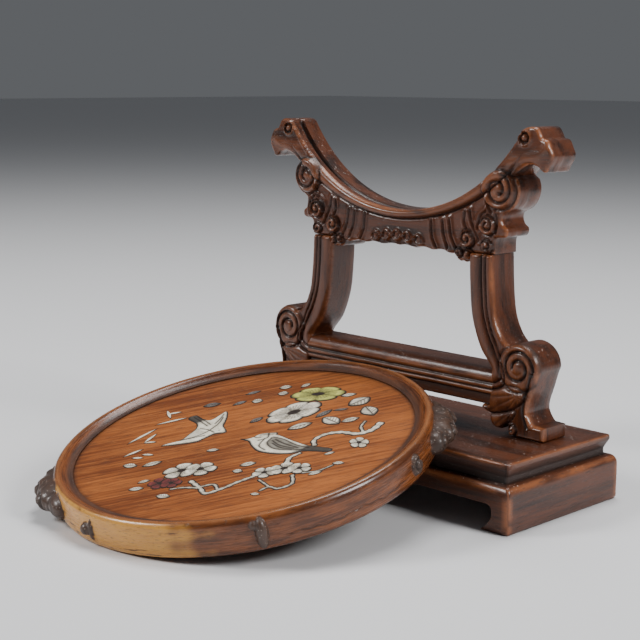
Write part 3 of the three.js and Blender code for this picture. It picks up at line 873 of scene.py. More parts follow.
@dataclass(frozen=True)
class PanelWood:
    """Orange-brown panel wood with fine straight grain."""

    name: str = "panel_wood"
    light: Colour = (0.36, 0.11, 0.024)
    deep: Colour = (0.13, 0.032, 0.008)
    pale: Colour = (0.52, 0.21, 0.06)
    pore: Colour = (0.05, 0.016, 0.006)
    pore_and_hollow_shade: Colour = (0.012, 0.006, 0.004)
    relief: float = 0.00004

    def material(self) -> bpy.types.Material:
        """Builds the finish."""
        shader = Shader(self.name)
        clouds = shader.noise((0.012, 0.05, 0.05), 2.0)
        stripes = shader.noise((0.02, 0.55, 0.55), 3.0, 5.0)
        pores = shader.noise((0.13, 2.6, 2.6), 1.0, 11.0)
        flecks = shader.noise((0.16, 2.1, 2.1), 1.0, 23.0)
        base = shader.blend((clouds * 0.5 + stripes * 0.6).between(0.38, 0.72), self.deep, self.light)
        base = shader.blend(flecks.between(0.62, 0.74) * 0.35, base, self.pale)
        lines = pores.between(0.57, 0.68)
        base = shader.blend(lines * 0.7, base, self.pore)
        # Painted shade: the panel darkens towards the rim by its cavity value.
        base = shader.blend(shader.attribute("cavity") * 0.85, base, self.pore_and_hollow_shade)
        rough = stripes * 0.15 + lines * 0.2 + 0.36
        normal = shader.bump(stripes * 0.2 - lines, self.relief)
        return shader.done(base, rough, normal, specular_ior_level=0.3)


@dataclass(frozen=True)
class RimWood:
    """The rim's wood: brown heartwood, yellow sapwood with black streaks, and dark carved knots."""

    name: str = "rim_wood"
    brown: Colour = (0.22, 0.066, 0.017)
    dark: Colour = (0.07, 0.02, 0.0065)
    sap: Colour = (0.6, 0.29, 0.055)
    deep_sap: Colour = (0.42, 0.17, 0.04)
    streak: Colour = (0.04, 0.017, 0.008)
    worn: Colour = (0.4, 0.16, 0.055)
    knot: Colour = (0.062, 0.036, 0.025)
    pore_and_hollow_shade: Colour = (0.011, 0.005, 0.003)
    speck: Colour = (0.3, 0.24, 0.2)
    relief: float = 0.00005

    def material(self) -> bpy.types.Material:
        """Builds the finish."""
        shader = Shader(self.name)
        figure = shader.noise((0.05, 0.05, 0.32), 3.0)
        fine = shader.noise((0.09, 0.09, 1.6), 2.0, 9.0)
        blots = shader.noise((0.1, 0.1, 0.5), 4.0, 21.0)
        pores = shader.noise((0.4, 0.4, 3.2), 1.0, 33.0)
        sap = shader.attribute("sapwood")
        knot = shader.attribute("knot")
        cavity = shader.attribute("cavity")
        heart = shader.blend((figure * 0.7 + fine * 0.4).between(0.4, 0.72), self.dark, self.brown)
        yellow = shader.blend(fine.between(0.35, 0.7) * 0.5, self.sap, self.deep_sap)
        yellow = shader.blend(blots.between(0.6, 0.68) * 0.9, yellow, self.streak)
        base = shader.blend((sap + figure * 0.3 - 0.15).between(0.12, 0.85), heart, yellow)
        base = shader.blend(shader.attribute("worn") * 0.45, base, self.worn)
        open_pores = pores.between(0.62, 0.7)
        base = shader.blend(open_pores * 0.4, base, self.streak)
        base = shader.blend(knot * 0.93, base, self.knot)
        # Painted shade in the cove and in the knots' cuts and bases, from the cavity value, which also holds
        # the crack's dark line.
        base = shader.blend(cavity * 0.85, base, self.pore_and_hollow_shade)
        specks = shader.specks(1.0, 0.28, 0.4) * (knot * 0.7 + cavity * 0.3)
        base = shader.blend(specks, base, self.speck)
        rough = fine * 0.14 + cavity * 0.4 + knot * 0.12 + 0.2
        normal = shader.bump(fine * 0.4 - open_pores, self.relief)
        return shader.done(
            base, rough, normal, specular_ior_level=0.42, coat_weight=0.2, coat_roughness=0.14
        )


@dataclass(frozen=True)
class Inlay:
    """Engraved shell or stone with its lines filled dark.

    Attributes:
        name: the material's name.
        pale: the stone's own colour.
        veined: its second colour.
        shaded: the colour where its shade is deepest.
        inked: the colour of its engraved lines.
        relief: the depth of its engraving, in metres.
    """

    name: str
    pale: Colour
    veined: Colour
    shaded: Colour = (0.035, 0.028, 0.024)
    inked: Colour = (0.02, 0.012, 0.009)
    relief: float = 0.00006

    def material(self) -> bpy.types.Material:
        """Builds the finish."""
        shader = Shader(self.name)
        clouds = shader.noise((0.3, 0.3, 0.3), 3.0, 2.0)
        fine = shader.noise((1.6, 1.6, 1.6), 2.0, 13.0)
        base = shader.blend((clouds * 0.7 + fine * 0.4).between(0.42, 0.72), self.pale, self.veined)
        base = shader.blend(shader.attribute("shade"), base, self.shaded)
        ink = shader.attribute("ink")
        base = shader.blend(ink, base, self.inked)
        rough = fine * 0.16 + ink * 0.3 + 0.25
        normal = shader.bump(fine * 0.3 - ink, self.relief)
        return shader.done(base, rough, normal, specular_ior_level=0.3)


# The stand


@dataclass
class Stand:
    """Sizes of the stand that its pieces share, with heights above the plinth's top.

    Attributes:
        front: the place of the boards' front faces, in metres.
        top: the height of the plinth's top, in metres.
    """

    front: float
    top: float
    depth: float = 17.0
    window: float = 41.2
    post_top: float = 75.0
    post_width: float = 11.5
    rail_half: float = 54.6
    rail_low: float = 11.7
    rail_high: float = 26.9
    gap: float = 0.3
    spacing: float = 0.5
    back_edge: float = 0.9
    back_inset: float = 0.5

    def place(self, points: np.ndarray) -> np.ndarray:
        """Gives points of the stand's plane in metres."""
        return np.column_stack([
            points[:, 0] * MM,
            self.front - points[:, 2] * MM,
            self.top + points[:, 1] * MM,
        ])

    def rows(self, rounding: float) -> list[WallRow]:
        """Gives the wall's rows of a plain board."""
        levels = np.linspace(-rounding, -self.depth + self.back_edge, 7)
        return [*(WallRow(level) for level in levels[1:]), WallRow(-self.depth, self.back_inset)]


def groove(points: np.ndarray, line: Line, depth: float, width: float) -> np.ndarray:
    """Gives the depth of a soft groove along a line, above zero in it."""
    return depth * ridge(distance(points, line), width)


def worn_edge(points: np.ndarray, outline: Line) -> np.ndarray:
    """Gives how rubbed a face is, from its outer edge inwards."""
    return ridge(distance(points, closed_loop(outline)), 0.9)


@dataclass
class Scroll:
    """A carved scroll on a face.

    Attributes:
        eye: its centre.
        radius: its outer radius.
        angles: the angles of its groove from outside to inside, in degrees.
        height: how far it stands out.
        width: its groove's half-width.
    """

    eye: tuple[float, float]
    radius: float
    angles: tuple[float, float]
    height: float = 1.0
    width: float = 0.5

    def carve(self, points: np.ndarray, height: np.ndarray, cavity: np.ndarray) -> None:
        """Carves the scroll into a face's height and cavity.

        Args:
            points: the face's points.
            height: the face's height, changed in place.
            cavity: the face's hollows, which are marked for painted shade, changed in place.
        """
        near = np.hypot(*(points - self.eye).T)
        within = eased((self.radius - near) / (0.18 * self.radius))
        line = spiral(self.eye, (0.8 * self.radius, 0.24 * self.radius), self.angles)
        cut = ridge(distance(points, line), self.width) * (near < self.radius)
        height += self.height * within + 0.5 * pearl(near, 0.24 * self.radius) - 1.2 * cut
        outside = ridge(near - self.radius, 0.45)
        height -= 0.5 * outside
        cavity[:] = np.maximum(cavity, np.maximum(cut, 0.8 * outside))


@dataclass
class Leg:
    """A leg of the stand: a curved post, a scroll, two leaves and a toe."""

    stand: Stand
    eye: tuple[float, float] = (68.8, 29.4)
    radius: float = 10.2
    toe_end: float = 82.1
    toe_height: float = 6.0
    band_width: float = 6.6
    bead_width: float = 2.3
    rounding: float = 1.3

    def inner_edge(self) -> Line:
        """Gives the post's edge at the window, from its top to the rail."""
        stand = self.stand
        window, foot, top, rail = stand.window, stand.rail_half + stand.gap, stand.post_top, stand.rail_high
        return np.array([
            [window, top], [window + 0.4, top - 11], [window + 1.6, top - 24], [window + 3.9, rail + 15.6],
            [window + 7.5, rail + 7.8], [foot - 1.6, rail + 2.4], [foot, rail + 0.2],
        ])

    def outline(self, step: float) -> Line:
        """Gives the whole leg's edge."""
        stand, (x, z) = self.stand, self.eye
        joint, leaf = stand.rail_half + stand.gap, stand.rail_low - stand.gap
        outer = stand.window + stand.post_width
        bracket = curve_from((joint, leaf), [
            [-4.4, 0], [-5.1, -1.2], [-2.8, -2.6], [-0.4, -3.4], [-0.2, -5.2], [0.4, -7], [2.3, -8.8],
            [5.5, -9], [7.4, -7.4], [9.1, -6.7], [9.5, -8.8], [10.3, stand.gap - leaf],
        ], step)
        end, instep = self.toe_end, self.toe_height
        toe = [[end, stand.gap], [end, instep], [end - 5.1, instep + 0.2]]
        stem = spline([
            toe[-1], [x + 6.6, instep + 2], [x + 5, instep + 5.2], [x + 5.5, instep + 9.2],
            [x + 7.3, z - 8.9], [x + 9, z - 3.1], [x + self.radius, z],
        ], step)
        volute = spiral(self.eye, (self.radius, self.radius), (0, 118), step)
        post = spline([
            volute[-1], [x - 0.56 * self.radius, z + 0.77 * self.radius], [outer + 6.1, z + 11.9],
            [outer + 2.7, z + 18.9], [outer + 1.3, stand.post_top - 19], [outer + 0.5, stand.post_top - 10],
            [outer, stand.post_top],
        ], step)
        top = resampled([[outer, stand.post_top], [stand.window, stand.post_top]], step)
        inner = spline(self.inner_edge(), step)
        side = resampled([inner[-1], [joint, leaf]], step)
        ledge = resampled([[joint, leaf], [joint - 4.4, leaf]], step)
        foot = resampled([[joint + 10.3, stand.gap], *toe], step)
        return end_to_end(bracket, foot, stem, volute, post, top, inner, side, ledge)

    def lines(self) -> tuple[Line, Line, Line]:
        """Gives the lines that part the post's band, bead and outer moulding."""
        stand = self.stand
        inner = spline(self.inner_edge(), 0.5)
        outwards = to_the_left(np.gradient(inner, axis=0))
        below = stand.rail_half - 1
        keep = inner[:, 1] > stand.rail_high + 6
        lines = [np.concatenate([inner, [(below, stand.rail_high)]])]
        for offset, bend, level in (
            (self.band_width, 5.6, stand.rail_high - 6.2),
            (self.band_width + self.bead_width, 7.6, stand.rail_high - 8.5),
        ):
            post = (inner + offset * outwards)[keep]
            corner = stand.rail_half + bend
            high = stand.rail_high + 0.9 - 0.3 * bend
            turn = [post[-1], [corner, high], [corner - 2.2, level + 1.5], [below, level]]
            lines.append(np.concatenate([post[:-1], spline(turn, 0.5)]))
        return tuple(lines)

    def carve(self, points: np.ndarray) -> dict[str, np.ndarray]:
        """Carves the leg's face.

        Args:
            points: the face's points.

        Returns:
            Its height, its hollows, which are marked for painted shade, and its rubbed places.
        """
        inner, first, second = self.lines()
        height = np.full(len(points), -0.2)
        cavity = np.zeros(len(points))
        within, share = band(points, inner, first)
        height[within] = 1.15 * dome(share[within]) - 0.9
        within, share = band(points, first, second)
        height[within] = 0.75 * dome(share[within]) - 0.85
        for line in (first, second):
            cut = groove(points, line, 1.0, 0.4)
            height -= 0.6 * cut
            cavity = np.maximum(cavity, cut)
        x, z = self.eye
        stem = spline([
            [x + 5.4, self.toe_height - 1], [x + 3.2, self.toe_height + 4.2], [x + 3.3, z - 14],
            [x + 4.4, z - 10.5], [x + 5.9, z - 6.2], [x + 7.3, z - 1.5],
        ], 0.4)
        cut = groove(points, stem, 1.0, 0.5)
        bead = ridge(distance(points, stem + (1.5, 0.3)), 0.8)
        height += 0.7 * bead - 0.9 * cut
        cavity = np.maximum(cavity, cut)
        self.carve_leaves(points, height, cavity)
        Scroll(self.eye, self.radius, (-14, 540), height=0.75, width=0.55).carve(points, height, cavity)
        outline = self.outline(1.0)
        rubbed = np.maximum(worn_edge(points, outline), 0.7 * np.clip(height * 1.2, 0, 1))
        return {"height": height, "cavity": cavity, "worn": rubbed * (1 - cavity)}

    def carve_leaves(self, points: np.ndarray, height: np.ndarray, cavity: np.ndarray) -> None:
        """Carves the leaves under the rail's end and the curl at the foot."""
        joint, low = self.stand.rail_half, self.stand.rail_high - 12.2
        upper = curve_from((joint, low), [
            [-5, 0.2], [-2.2, -2.4], [-1.2, -4.8], [0.6, -6.2], [6, -5.1], [11.2, -3.4], [16, -0.4],
            [19.2, 3.4], [15.6, 6.4], [10.2, 6.6], [3, 4.4],
        ], 0.5, closed=True)
        lower = curve_from((joint, low), [
            [0.3, -6.8], [0.5, -9.4], [2.3, -11.8], [6, -12], [9.1, -9.4], [12.2, -7.2], [13.2, -3.6],
            [6, -5.6],
        ], 0.5, closed=True)
        veins = ((upper, (joint + 16, low + 4), 30.0, 1.3), (lower, (joint + 12, low - 4), 38.0, 0.9))
        for leaf, root, turn, bulge in veins:
            within = inside(points, leaf)
            edge = distance(points, leaf)
            rise = bulge * np.sqrt(np.clip(edge / 2.6, 0, 1))
            away = points - np.asarray(root)
            angle = np.degrees(np.arctan2(away[:, 1], away[:, 0]))
            ribs = np.abs(np.sin(np.radians(angle * 180 / turn * 1.6)))
            height[within] += (rise - 0.35 * (1 - ribs) * eased(edge / 1.2))[within]
            rim = ridge(edge, 0.45)
            height -= 0.35 * rim
            cavity[:] = np.maximum(cavity, 0.65 * rim)
            cavity[within] = np.maximum(cavity, 0.4 * (1 - ribs) ** 2)[within]
        Scroll((joint + 11.8, 3.1), 2.7, (20, 300), height=0.6, width=0.4).carve(points, height, cavity)

    def build(self, material: bpy.types.Material) -> None:
        """Builds both legs."""
        stand = self.stand
        edge, rows = self.outline(stand.spacing), stand.rows(self.rounding)
        right = Board(edge, stand.spacing, self.rounding, rows, Grain.UPRIGHT).shape(self.carve)
        for side, leg in (("right", right), ("left", right.mirrored())):
            Piece(f"{side}_leg_carved", (f"{side}_leg",), "rosewood").make(leg.placed(stand.place), material)


@dataclass
class Rail:
    """The moulded bar between the legs, whose ends reach into their rounded edges."""

    stand: Stand
    steps: int = 90
    tenon: float = 1.3

    def profile(self) -> Line:
        """Gives the bar's section, as depth behind its face and height."""
        low, high, depth = self.stand.rail_low, self.stand.rail_high, self.stand.depth
        crown = spline([
            [7, high], [3.6, high - 0.25], [1.3, high - 1.3], [0.2, high - 3.2], [0.1, high - 4.6],
            [0.9, high - 5.9],
        ], 0.5)
        beads = []
        for middle, half in ((high - 7.35, 1.05), (high - 9.65, 1.0)):
            angle = np.radians(np.linspace(80, -80, 7))
            beads += [[0.75 - 0.75 * c, middle + half * s] for c, s in zip(np.cos(angle), np.sin(angle))]
        back = [
            [1.0, high - 11.0], [0.7, low + 0.6], [1.2, low], [depth - 0.8, low],
            [depth, low + 0.8], [depth, high - 0.8], [depth - 0.8, high],
        ]
        return np.concatenate([crown, beads, back])

    def build(self, material: bpy.types.Material) -> None:
        """Builds the rail."""
        section = self.profile()
        tree = bar_moulding(material)
        half = self.stand.rail_half + self.tenon
        values = {"Start": (-half, 0.0, 0.0), "End": (half, 0.0, 0.0), "Steps": self.steps}
        swept = tree.result(profile_object(section * (-1, -1)), values)
        across = swept.vertices[:, [0, 2, 1]] * (1, 1, -1)
        height, depth = across[:, 1], -across[:, 2]
        # The grooves between the beads are marked for painted shade.
        cavity = np.zeros(len(across))
        for drop in (6.2, 8.5, 10.9):
            cavity = np.maximum(cavity, ridge(height - self.stand.rail_high + drop, 0.35) * (depth < 2))
        values = {"cavity": cavity, "worn": ridge(depth, 0.5) * (1 - cavity) * 0.8, "grain": across}
        shape = Shape(across, swept.faces, values)
        piece = Piece("rail_moulded", ("rail",), "rosewood", crease=40.0)
        piece.make(shape.placed(self.stand.place), material)


# The cradle's carved lines and smaller scrolls, each place measured from the window's upper corner
CRADLE_SWEEPS = (
    ((-0.1, 18), (0.6, 14.1), (2.9, 9.2), (5.1, 5.4)),
    ((-2.9, 17), (-3.1, 13.2), (-1.9, 10.4)),
    ((-11.4, 13.4), (-10.1, 6.5), (-7.3, 1.4)),
    ((-15.1, 12.6), (-14.1, 6.5), (-11.7, 0.8)),
    ((-21.5, 12.2), (-20.8, 5.5), (-18.4, 0.5)),
    ((8.9, 23), (9.8, 19.7), (11.9, 17.4)),
    ((8.7, 18.5), (5.3, 15.6), (4.6, 11)),
    ((13.7, 17), (14.3, 13.4), (13.7, 9.6)),
)
CRADLE_SCROLLS = (
    ((9.5, 12.4), 4.3, (170, -250), 1.7, 0.5),
    ((-1.3, 6.0), 4.0, (20, 400), 1.7, 0.5),
    ((-0.9, -0.6), 2.7, (200, -60), 1.2, 0.4),
    ((-5.9, -0.2), 2.2, (60, 330), 1.1, 0.4),
    ((9.1, 3.6), 2.9, (140, -150), 1.2, 0.4),
)


@dataclass
class Cradle:
    """The crescent cradle: a roll and a channel along its seat, scrolls, carved lines and animal heads."""

    stand: Stand
    disc_radius: float = DISC_RADIUS
    thickness: float = 15.2
    span: float = 55.7
    roll: float = 3.8
    swell: float = 2.2
    shoulder: tuple[float, float] = (15.2, 27.4)
    shoulder_radius: float = 9.6
    beak_length: float = 16.1
    beak_drop: float = 14.8
    rounding: float = 1.4

    def __post_init__(self) -> None:
        """Works out the seat's circle and its tip."""
        self.base = self.stand.post_top + self.stand.gap
        self.seat_radius = self.disc_radius + self.stand.gap
        self.centre = self.base + self.thickness + self.seat_radius
        angle = math.radians(self.span)
        self.tip = (self.seat_radius * math.sin(angle), self.centre - self.seat_radius * math.cos(angle))

    def corner(self, side: float, height: float) -> tuple[float, float]:
        """Gives a place from its distances to the window's upper corner."""
        return (self.stand.window + side, self.stand.post_top + height)

    def outline(self, step: float) -> Line:
        """Gives the whole cradle's edge."""
        length, drop = self.beak_length, self.beak_drop
        eye = self.corner(*self.shoulder)
        window, base = self.stand.window, self.base
        foot = window + 12.5
        seat = spiral((0, self.centre), (self.seat_radius, self.seat_radius), (-90, self.span - 90), step)
        head = curve_from(self.tip, [
            [0, 0], [1.7, 2.1], [5.0, 2.95], [8.0, 2.5], [9.6, 0.4], [10.7, -1.5], [13.3, -2.3],
            [length - 1.3, 9.9 - drop], [length, 6.9 - drop], [length - 0.6, 4.3 - drop],
            [length - 2.1, 1.9 - drop], [length - 3.1, -0.1 - drop], [length - 4.8, 0.1 - drop],
            [length - 7.2, 1.9 - drop], [5.5, 2.8 - drop], [2.3, 1.9 - drop], [-0.6, 0.2 - drop],
            [-3.6, -2.4 - drop],
        ], step)
        shoulder = spiral(eye, (self.shoulder_radius,) * 2, (28, -60), step)
        toe = curve_from(eye, [
            [4.8, -8.3], [2.6, -9.3], [1.2, -10.6], [0.9, -12.6], [1.9, -14.7], [3.7, -16.1],
            [3.8, -18.4], [2.4, -19.7], [foot + 0.6 - eye[0], -20.6], [foot - eye[0], base - eye[1]],
        ], step)
        joint = resampled([[foot, base], [window - 0.35, base]], step)
        flat = [[share * window, drop] for share, drop in (
            (0.73, -1.6), (0.6, -0.4), (0.48, -1.0), (0.36, -0.2), (0.24, -0.9), (0.1, -0.2), (0, -0.7),
        )]
        lobe = curve_from((0, base), [
            [window - 0.35, 0], [window - 0.2, -3.0], [window - 2.3, -4.5], [window - 4.4, -3.9],
            [window - 5.3, -4.4], [window - 7.2, -3.4], [window - 8.2, -1.3], *flat,
        ], step)
        bridge = resampled([head[-1], shoulder[0]], step)
        under = resampled([shoulder[-1], toe[0]], step)
        half = end_to_end(seat, head, bridge, shoulder, under, toe, joint, lobe)
        other = mirrored(half[1:])[::-1]
        return np.concatenate([half, lobe[-1:], other])

    def channel(self, points: np.ndarray) -> np.ndarray:
        """Gives where the seat is channelled along the outline."""
        near = np.hypot(points[:, 0], points[:, 1] - self.centre)
        swing = np.degrees(np.arctan2(np.abs(points[:, 0]), self.centre - points[:, 1]))
        return eased((self.span + 3 - swing) / 3) * (np.abs(near - self.seat_radius) < 1.2)

    def carve(self, points: np.ndarray) -> dict[str, np.ndarray]:
        """Carves the cradle's face, which is the same on both sides of its middle.

        Args:
            points: the face's points.

        Returns:
            Its height, its hollows, which are marked for painted shade, and its rubbed places.
        """
        half = np.abs(points * (1, 0)) + points * (0, 1)
        near = np.hypot(half[:, 0], half[:, 1] - self.centre) - self.seat_radius
        swing = np.degrees(np.arctan2(half[:, 0], self.centre - half[:, 1])) / (0.74 * self.span)
        width = self.roll + self.swell * np.clip(swing, 0, 1) ** 2
        fades = eased((1.3 - swing) / 0.3)
        cavity = np.zeros(len(points))
        height = -0.9 * fades
        within = near < width
        height[within] = (-0.9 + 1.5 * dome(near / width))[within] * fades[within]
        cut = ridge(near - width - 0.2, 0.5) * fades
        height -= 0.7 * cut
        cavity = np.maximum(cavity, cut)
        self.carve_field(half, height, cavity)
        self.carve_head(half, height, cavity)
        rubbed = np.maximum(worn_edge(points, self.outline(1.0)), np.clip(height, 0, 1) * 0.6)
        rubbed = np.maximum(rubbed, 0.6 * ridge(near - 0.5 * width, 1.0) * fades)
        return {"height": height, "cavity": cavity, "worn": rubbed * (1 - cavity)}

    def carve_field(self, points: np.ndarray, height: np.ndarray, cavity: np.ndarray) -> None:
        """Carves the scrolls, the feathered lines and the knotwork below the roll."""
        for sweep in CRADLE_SWEEPS:
            near = distance(points, spline([self.corner(*place) for place in sweep], 0.5))
            height += 0.6 * ridge(near - 1.1, 0.7)
            height -= 0.6 * ridge(near, 0.5)
            cavity[:] = np.maximum(cavity, 0.65 * ridge(near, 0.5))
        self.carve_knotwork(points, height, cavity)
        largest = (self.shoulder, 0.88 * self.shoulder_radius, (70, -420), 1.9, 0.6)
        for place, radius, angles, rise, width in (largest, *CRADLE_SCROLLS):
            Scroll(self.corner(*place), radius, angles, rise, width).carve(points, height, cavity)

    def carve_knotwork(self, points: np.ndarray, height: np.ndarray, cavity: np.ndarray) -> None:
        """Carves two cords that cross under the middle of the seat, with a bead in each loop."""
        pitch, reach, level = 6.4, 16.5, self.stand.post_top + 4.2
        u, v = points.T
        within = eased((reach - u) / 2)
        line = level - 0.008 * u**2
        for phase in (0.0, math.pi):
            cord = ridge(v - line - 2.1 * np.sin(math.pi * u / pitch + phase + math.pi / 2), 0.8)
            height += 1.3 * cord * within
        for i in range(3):
            centre = (i * pitch, level - 0.008 * (i * pitch) ** 2)
            near = np.hypot(*(points - centre).T)
            height += 0.9 * pearl(near, 1.3)
            cavity[:] = np.maximum(cavity, 0.9 * ridge(near - 1.6, 0.35) * within)
        # Painted shade on the sunk ground between the cords, as the cavity value.
        ground = (np.abs(v - line) < 4) * within * ridge(np.clip(height, -1, 1) + 0.9, 0.4)
        cavity[:] = np.maximum(cavity, 0.7 * ground)

    def carve_head(self, points: np.ndarray, height: np.ndarray, cavity: np.ndarray) -> None:
        """Carves the eye of the animal head and softens its cheek."""
        eye = np.add(self.tip, (2.7, -1.5))
        near = np.hypot(*(points - eye).T)
        height += ridge(near - 2.9, 0.6) + 1.1 * pearl(near, 1.5)
        hollow = ridge(near - 2.0, 0.45)
        height -= 0.9 * hollow
        cavity[:] = np.maximum(cavity, hollow)
        jaw = curve_from(self.tip, [[-2.6, -11.6], [4.2, -9.6], [9.6, -8.2], [13.4, -5.4]], 0.5)
        height += 0.5 * ridge(distance(points, jaw), 2.4)

    def build(self, material: bpy.types.Material) -> None:
        """Builds the cradle."""
        stand = self.stand
        levels = (
            (-2.4,), (-3.8,), (-5.0, 0.1), (-5.3, 0, 2.0), (-6.0, 0, 2.4), (-7.4, 0, 2.4), (-8.0, 0, 2.0),
            (-8.3, 0.1), (-10,), (-12.5,), (stand.back_edge - stand.depth,), (-stand.depth, stand.back_inset),
        )
        rows = [WallRow(*level) for level in levels]
        board = Board(self.outline(stand.spacing), stand.spacing, self.rounding, rows)
        shape = board.shape(self.carve, self.channel)
        Piece("cradle_carved", ("cradle",), "rosewood").make(shape.placed(stand.place), material)


@dataclass
class Plinth:
    """The block plinth: slab, waist, apron and two feet cut from one piece."""

    length: float
    depth: float
    height: float
    middle: tuple[float, float]
    apron: float = 19.4
    rounding: float = 4.0
    inset: float = 2.6
    waist: float = 4.3
    waist_height: float = 2.8
    edge: float = 2.3
    bevel: float = 3.0
    bevel_drop: float = 0.6
    corner: float = 1.4
    channel: float = 11.3
    heel: float = 13.4
    neck: float = 8.2

    def rows(self) -> Line:
        """Gives the block's section from its foot to its top, as inset and height."""
        angle = np.radians(np.linspace(0, 84, 8))
        shoulder = np.stack([
            self.inset * (1 - np.cos(angle)),
            self.apron - self.rounding + self.rounding * np.sin(angle),
        ], 1)
        under = self.height - self.bevel_drop - self.edge
        low = self.apron + self.waist_height
        cove = spline([[self.waist, low], [self.waist - 0.3, low + 0.8], [self.inset + 0.2, under]], 0.4)
        arris = self.height - self.bevel_drop
        parts = [
            [[1.6, 0.0], [0.5, 0.25], [0.0, 1.2]],
            resampled([[0.0, 2.2], [0.0, self.apron - self.rounding - 0.8]], 1.6),
            shoulder,
            [[self.inset + 0.4, self.apron + 0.1], [self.waist, self.apron + 0.2]],
            [[self.waist, self.apron + 0.6], [self.waist, low - 0.6]],
            cove,
            [[self.inset, under + 0.35], [self.inset, arris - 0.3], [self.inset + 0.25, arris + 0.02]],
            [[self.inset + 0.9, arris + 0.16], [self.inset + 1.8, arris + 0.36]],
            [[self.inset + self.bevel, self.height - 0.04], [self.inset + self.bevel + 0.4, self.height]],
        ]
        return np.concatenate(parts)

    def block(self, step: float = 2.2) -> Shape:
        """Builds the moulded block."""
        rings = []
        for inset, height in self.rows():
            middle = np.array([self.length, self.depth]) / 2 - inset - self.corner
            arcs = []
            for i, side in enumerate(((1, 1), (-1, 1), (-1, -1), (1, -1))):
                angles = np.radians(np.linspace(90 * i, 90 * (i + 1), 6))
                arcs.append(middle * side + self.corner * np.stack([np.cos(angles), np.sin(angles)], 1))
            ring = []
            for i, arc in enumerate(arcs):
                count = round([self.length, self.depth][i % 2] / step)
                share = np.linspace(0, 1, count + 1)[1:-1, None]
                ring += [arc, arc[-1] + (arcs[(i + 1) % 4][0] - arc[-1]) * share]
            flat = np.concatenate(ring)
            rings.append(np.column_stack([flat, np.full(len(flat), height)]))
        return Shape.lofted(rings)

    def hollow(self) -> Shape:
        """Builds the solid that is cut out between the feet."""
        heel, neck = self.length / 2 - self.heel, self.length / 2 - self.neck
        top = self.channel
        half = spline([
            [heel, -1], [heel, 0.5], [heel + 0.9, 1.3], [0.5 * (heel + neck), 0.22 * top],
            [neck - 0.4, 0.5 * top], [neck, 0.75 * top], [neck - 0.8, 0.94 * top], [neck - 3, top],
        ], 0.8)
        x, z = np.concatenate([half, mirrored(half)[::-1]]).T
        ends = (np.column_stack([x, np.full(len(x), y), z]) for y in (-self.depth, self.depth))
        return Shape.lofted(list(ends)).facing_out()

    def build(self, material: bpy.types.Material) -> None:
        """Builds the plinth."""
        block, cutter = self.block().facing_out().object("block"), self.hollow().object("hollow")
        cut = block.modifiers.new("hollow", "BOOLEAN")
        cut.object = cutter
        cut.operation = "DIFFERENCE"
        cut.solver = "EXACT"
        shape = Shape.used_up(block)
        bpy.data.objects.remove(cutter)
        self.chip(shape)
        x, y, z = shape.vertices.T
        sides = np.minimum(self.length / 2 - np.abs(x), self.depth / 2 - np.abs(y))
        # Painted shade in the waist, under the slab's overhang, as the cavity value.
        cavity = ridge(sides - self.waist, 1.0) * ((z > self.apron - 0.4) & (z < self.height - 2.4))
        arris = self.height - self.bevel_drop
        slab = ridge(z - arris, 0.5) * ridge(sides - self.inset, 0.9)
        shoulder = ridge(z - self.apron + 1.4, 1.4) * (sides < 1.6)
        corners = ridge(np.hypot(self.length / 2 - np.abs(x), self.depth / 2 - np.abs(y)) - 1.0, 1.6)
        worn = np.clip(np.maximum.reduce([slab, shoulder, corners * (sides < 3.2)]), 0, 1)
        grain = shape.vertices.copy()
        ends = (self.length / 2 - np.abs(x) < self.depth / 2 - np.abs(y)) & (z < self.height - 0.2)
        grain[ends] = grain[ends][:, [1, 0, 2]]
        shape.values = {"cavity": cavity, "worn": worn, "grain": grain}
        placed = shape.placed(lambda points: points * MM + (*self.middle, 0.0))
        Piece("plinth_block", ("plinth",), "rosewood", crease=32.0).make(placed, material)

    def chip(self, shape: Shape) -> None:
        """Wears away the slab's front right corner."""
        x, y = self.length / 2 - self.inset, self.inset - self.depth / 2
        near = np.linalg.norm(shape.vertices - (x, y, self.height - self.bevel_drop), axis=1)
        shape.vertices += 0.9 * ridge(near, 2.6)[:, None] * np.array([-0.6, 0.6, -0.5])


# The disc


@dataclass
class DiscPlane:
    """The disc's own plane: x to the right, y up the slope, z out of its underside, in millimetres."""

    origin: np.ndarray
    lean: float

    @classmethod
    def of_panel(cls, name: str, thickness: float, level: float) -> "DiscPlane":
        """Works the plane out from the panel's box.

        Args:
            name: the panel's node.
            thickness: the panel's thickness, in millimetres.
            level: the height of the panel's middle above the disc's underside, in millimetres.

        Returns:
            The disc's plane.
        """
        low, high = (np.array(corner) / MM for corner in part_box(name))
        size = high - low
        angles = np.linspace(0, math.pi / 4, 20001)
        miss = size[2] * np.cos(angles) - size[1] * np.sin(angles) - thickness * np.cos(2 * angles)
        lean = float(angles[np.argmin(np.abs(miss))])
        normal = np.array([0, -math.sin(lean), math.cos(lean)])
        return cls((low + high) / 2 - level * normal, lean)

    def place(self, points: np.ndarray) -> np.ndarray:
        """Gives points of the plane in metres."""
        up = np.array([0, math.cos(self.lean), math.sin(self.lean)])
        normal = np.array([0, -math.sin(self.lean), math.cos(self.lean)])
        x, y, z = points.T
        return (self.origin + np.outer(x, [1, 0, 0]) + np.outer(y, up) + np.outer(z, normal)) * MM


@dataclass(frozen=True)
class WallCarving:
    """A lump carved on the rim's wall.

    Attributes:
        angle: its place round the disc, in degrees.
        along: its shift along the wall.
        level: its height above the underside.
        size: its reach outwards, its half-length and its half-height.
        scrolled: whether a scroll is cut into it.
    """

    angle: float
    along: float
    level: float
    size: tuple[float, float, float]
    scrolled: bool = False


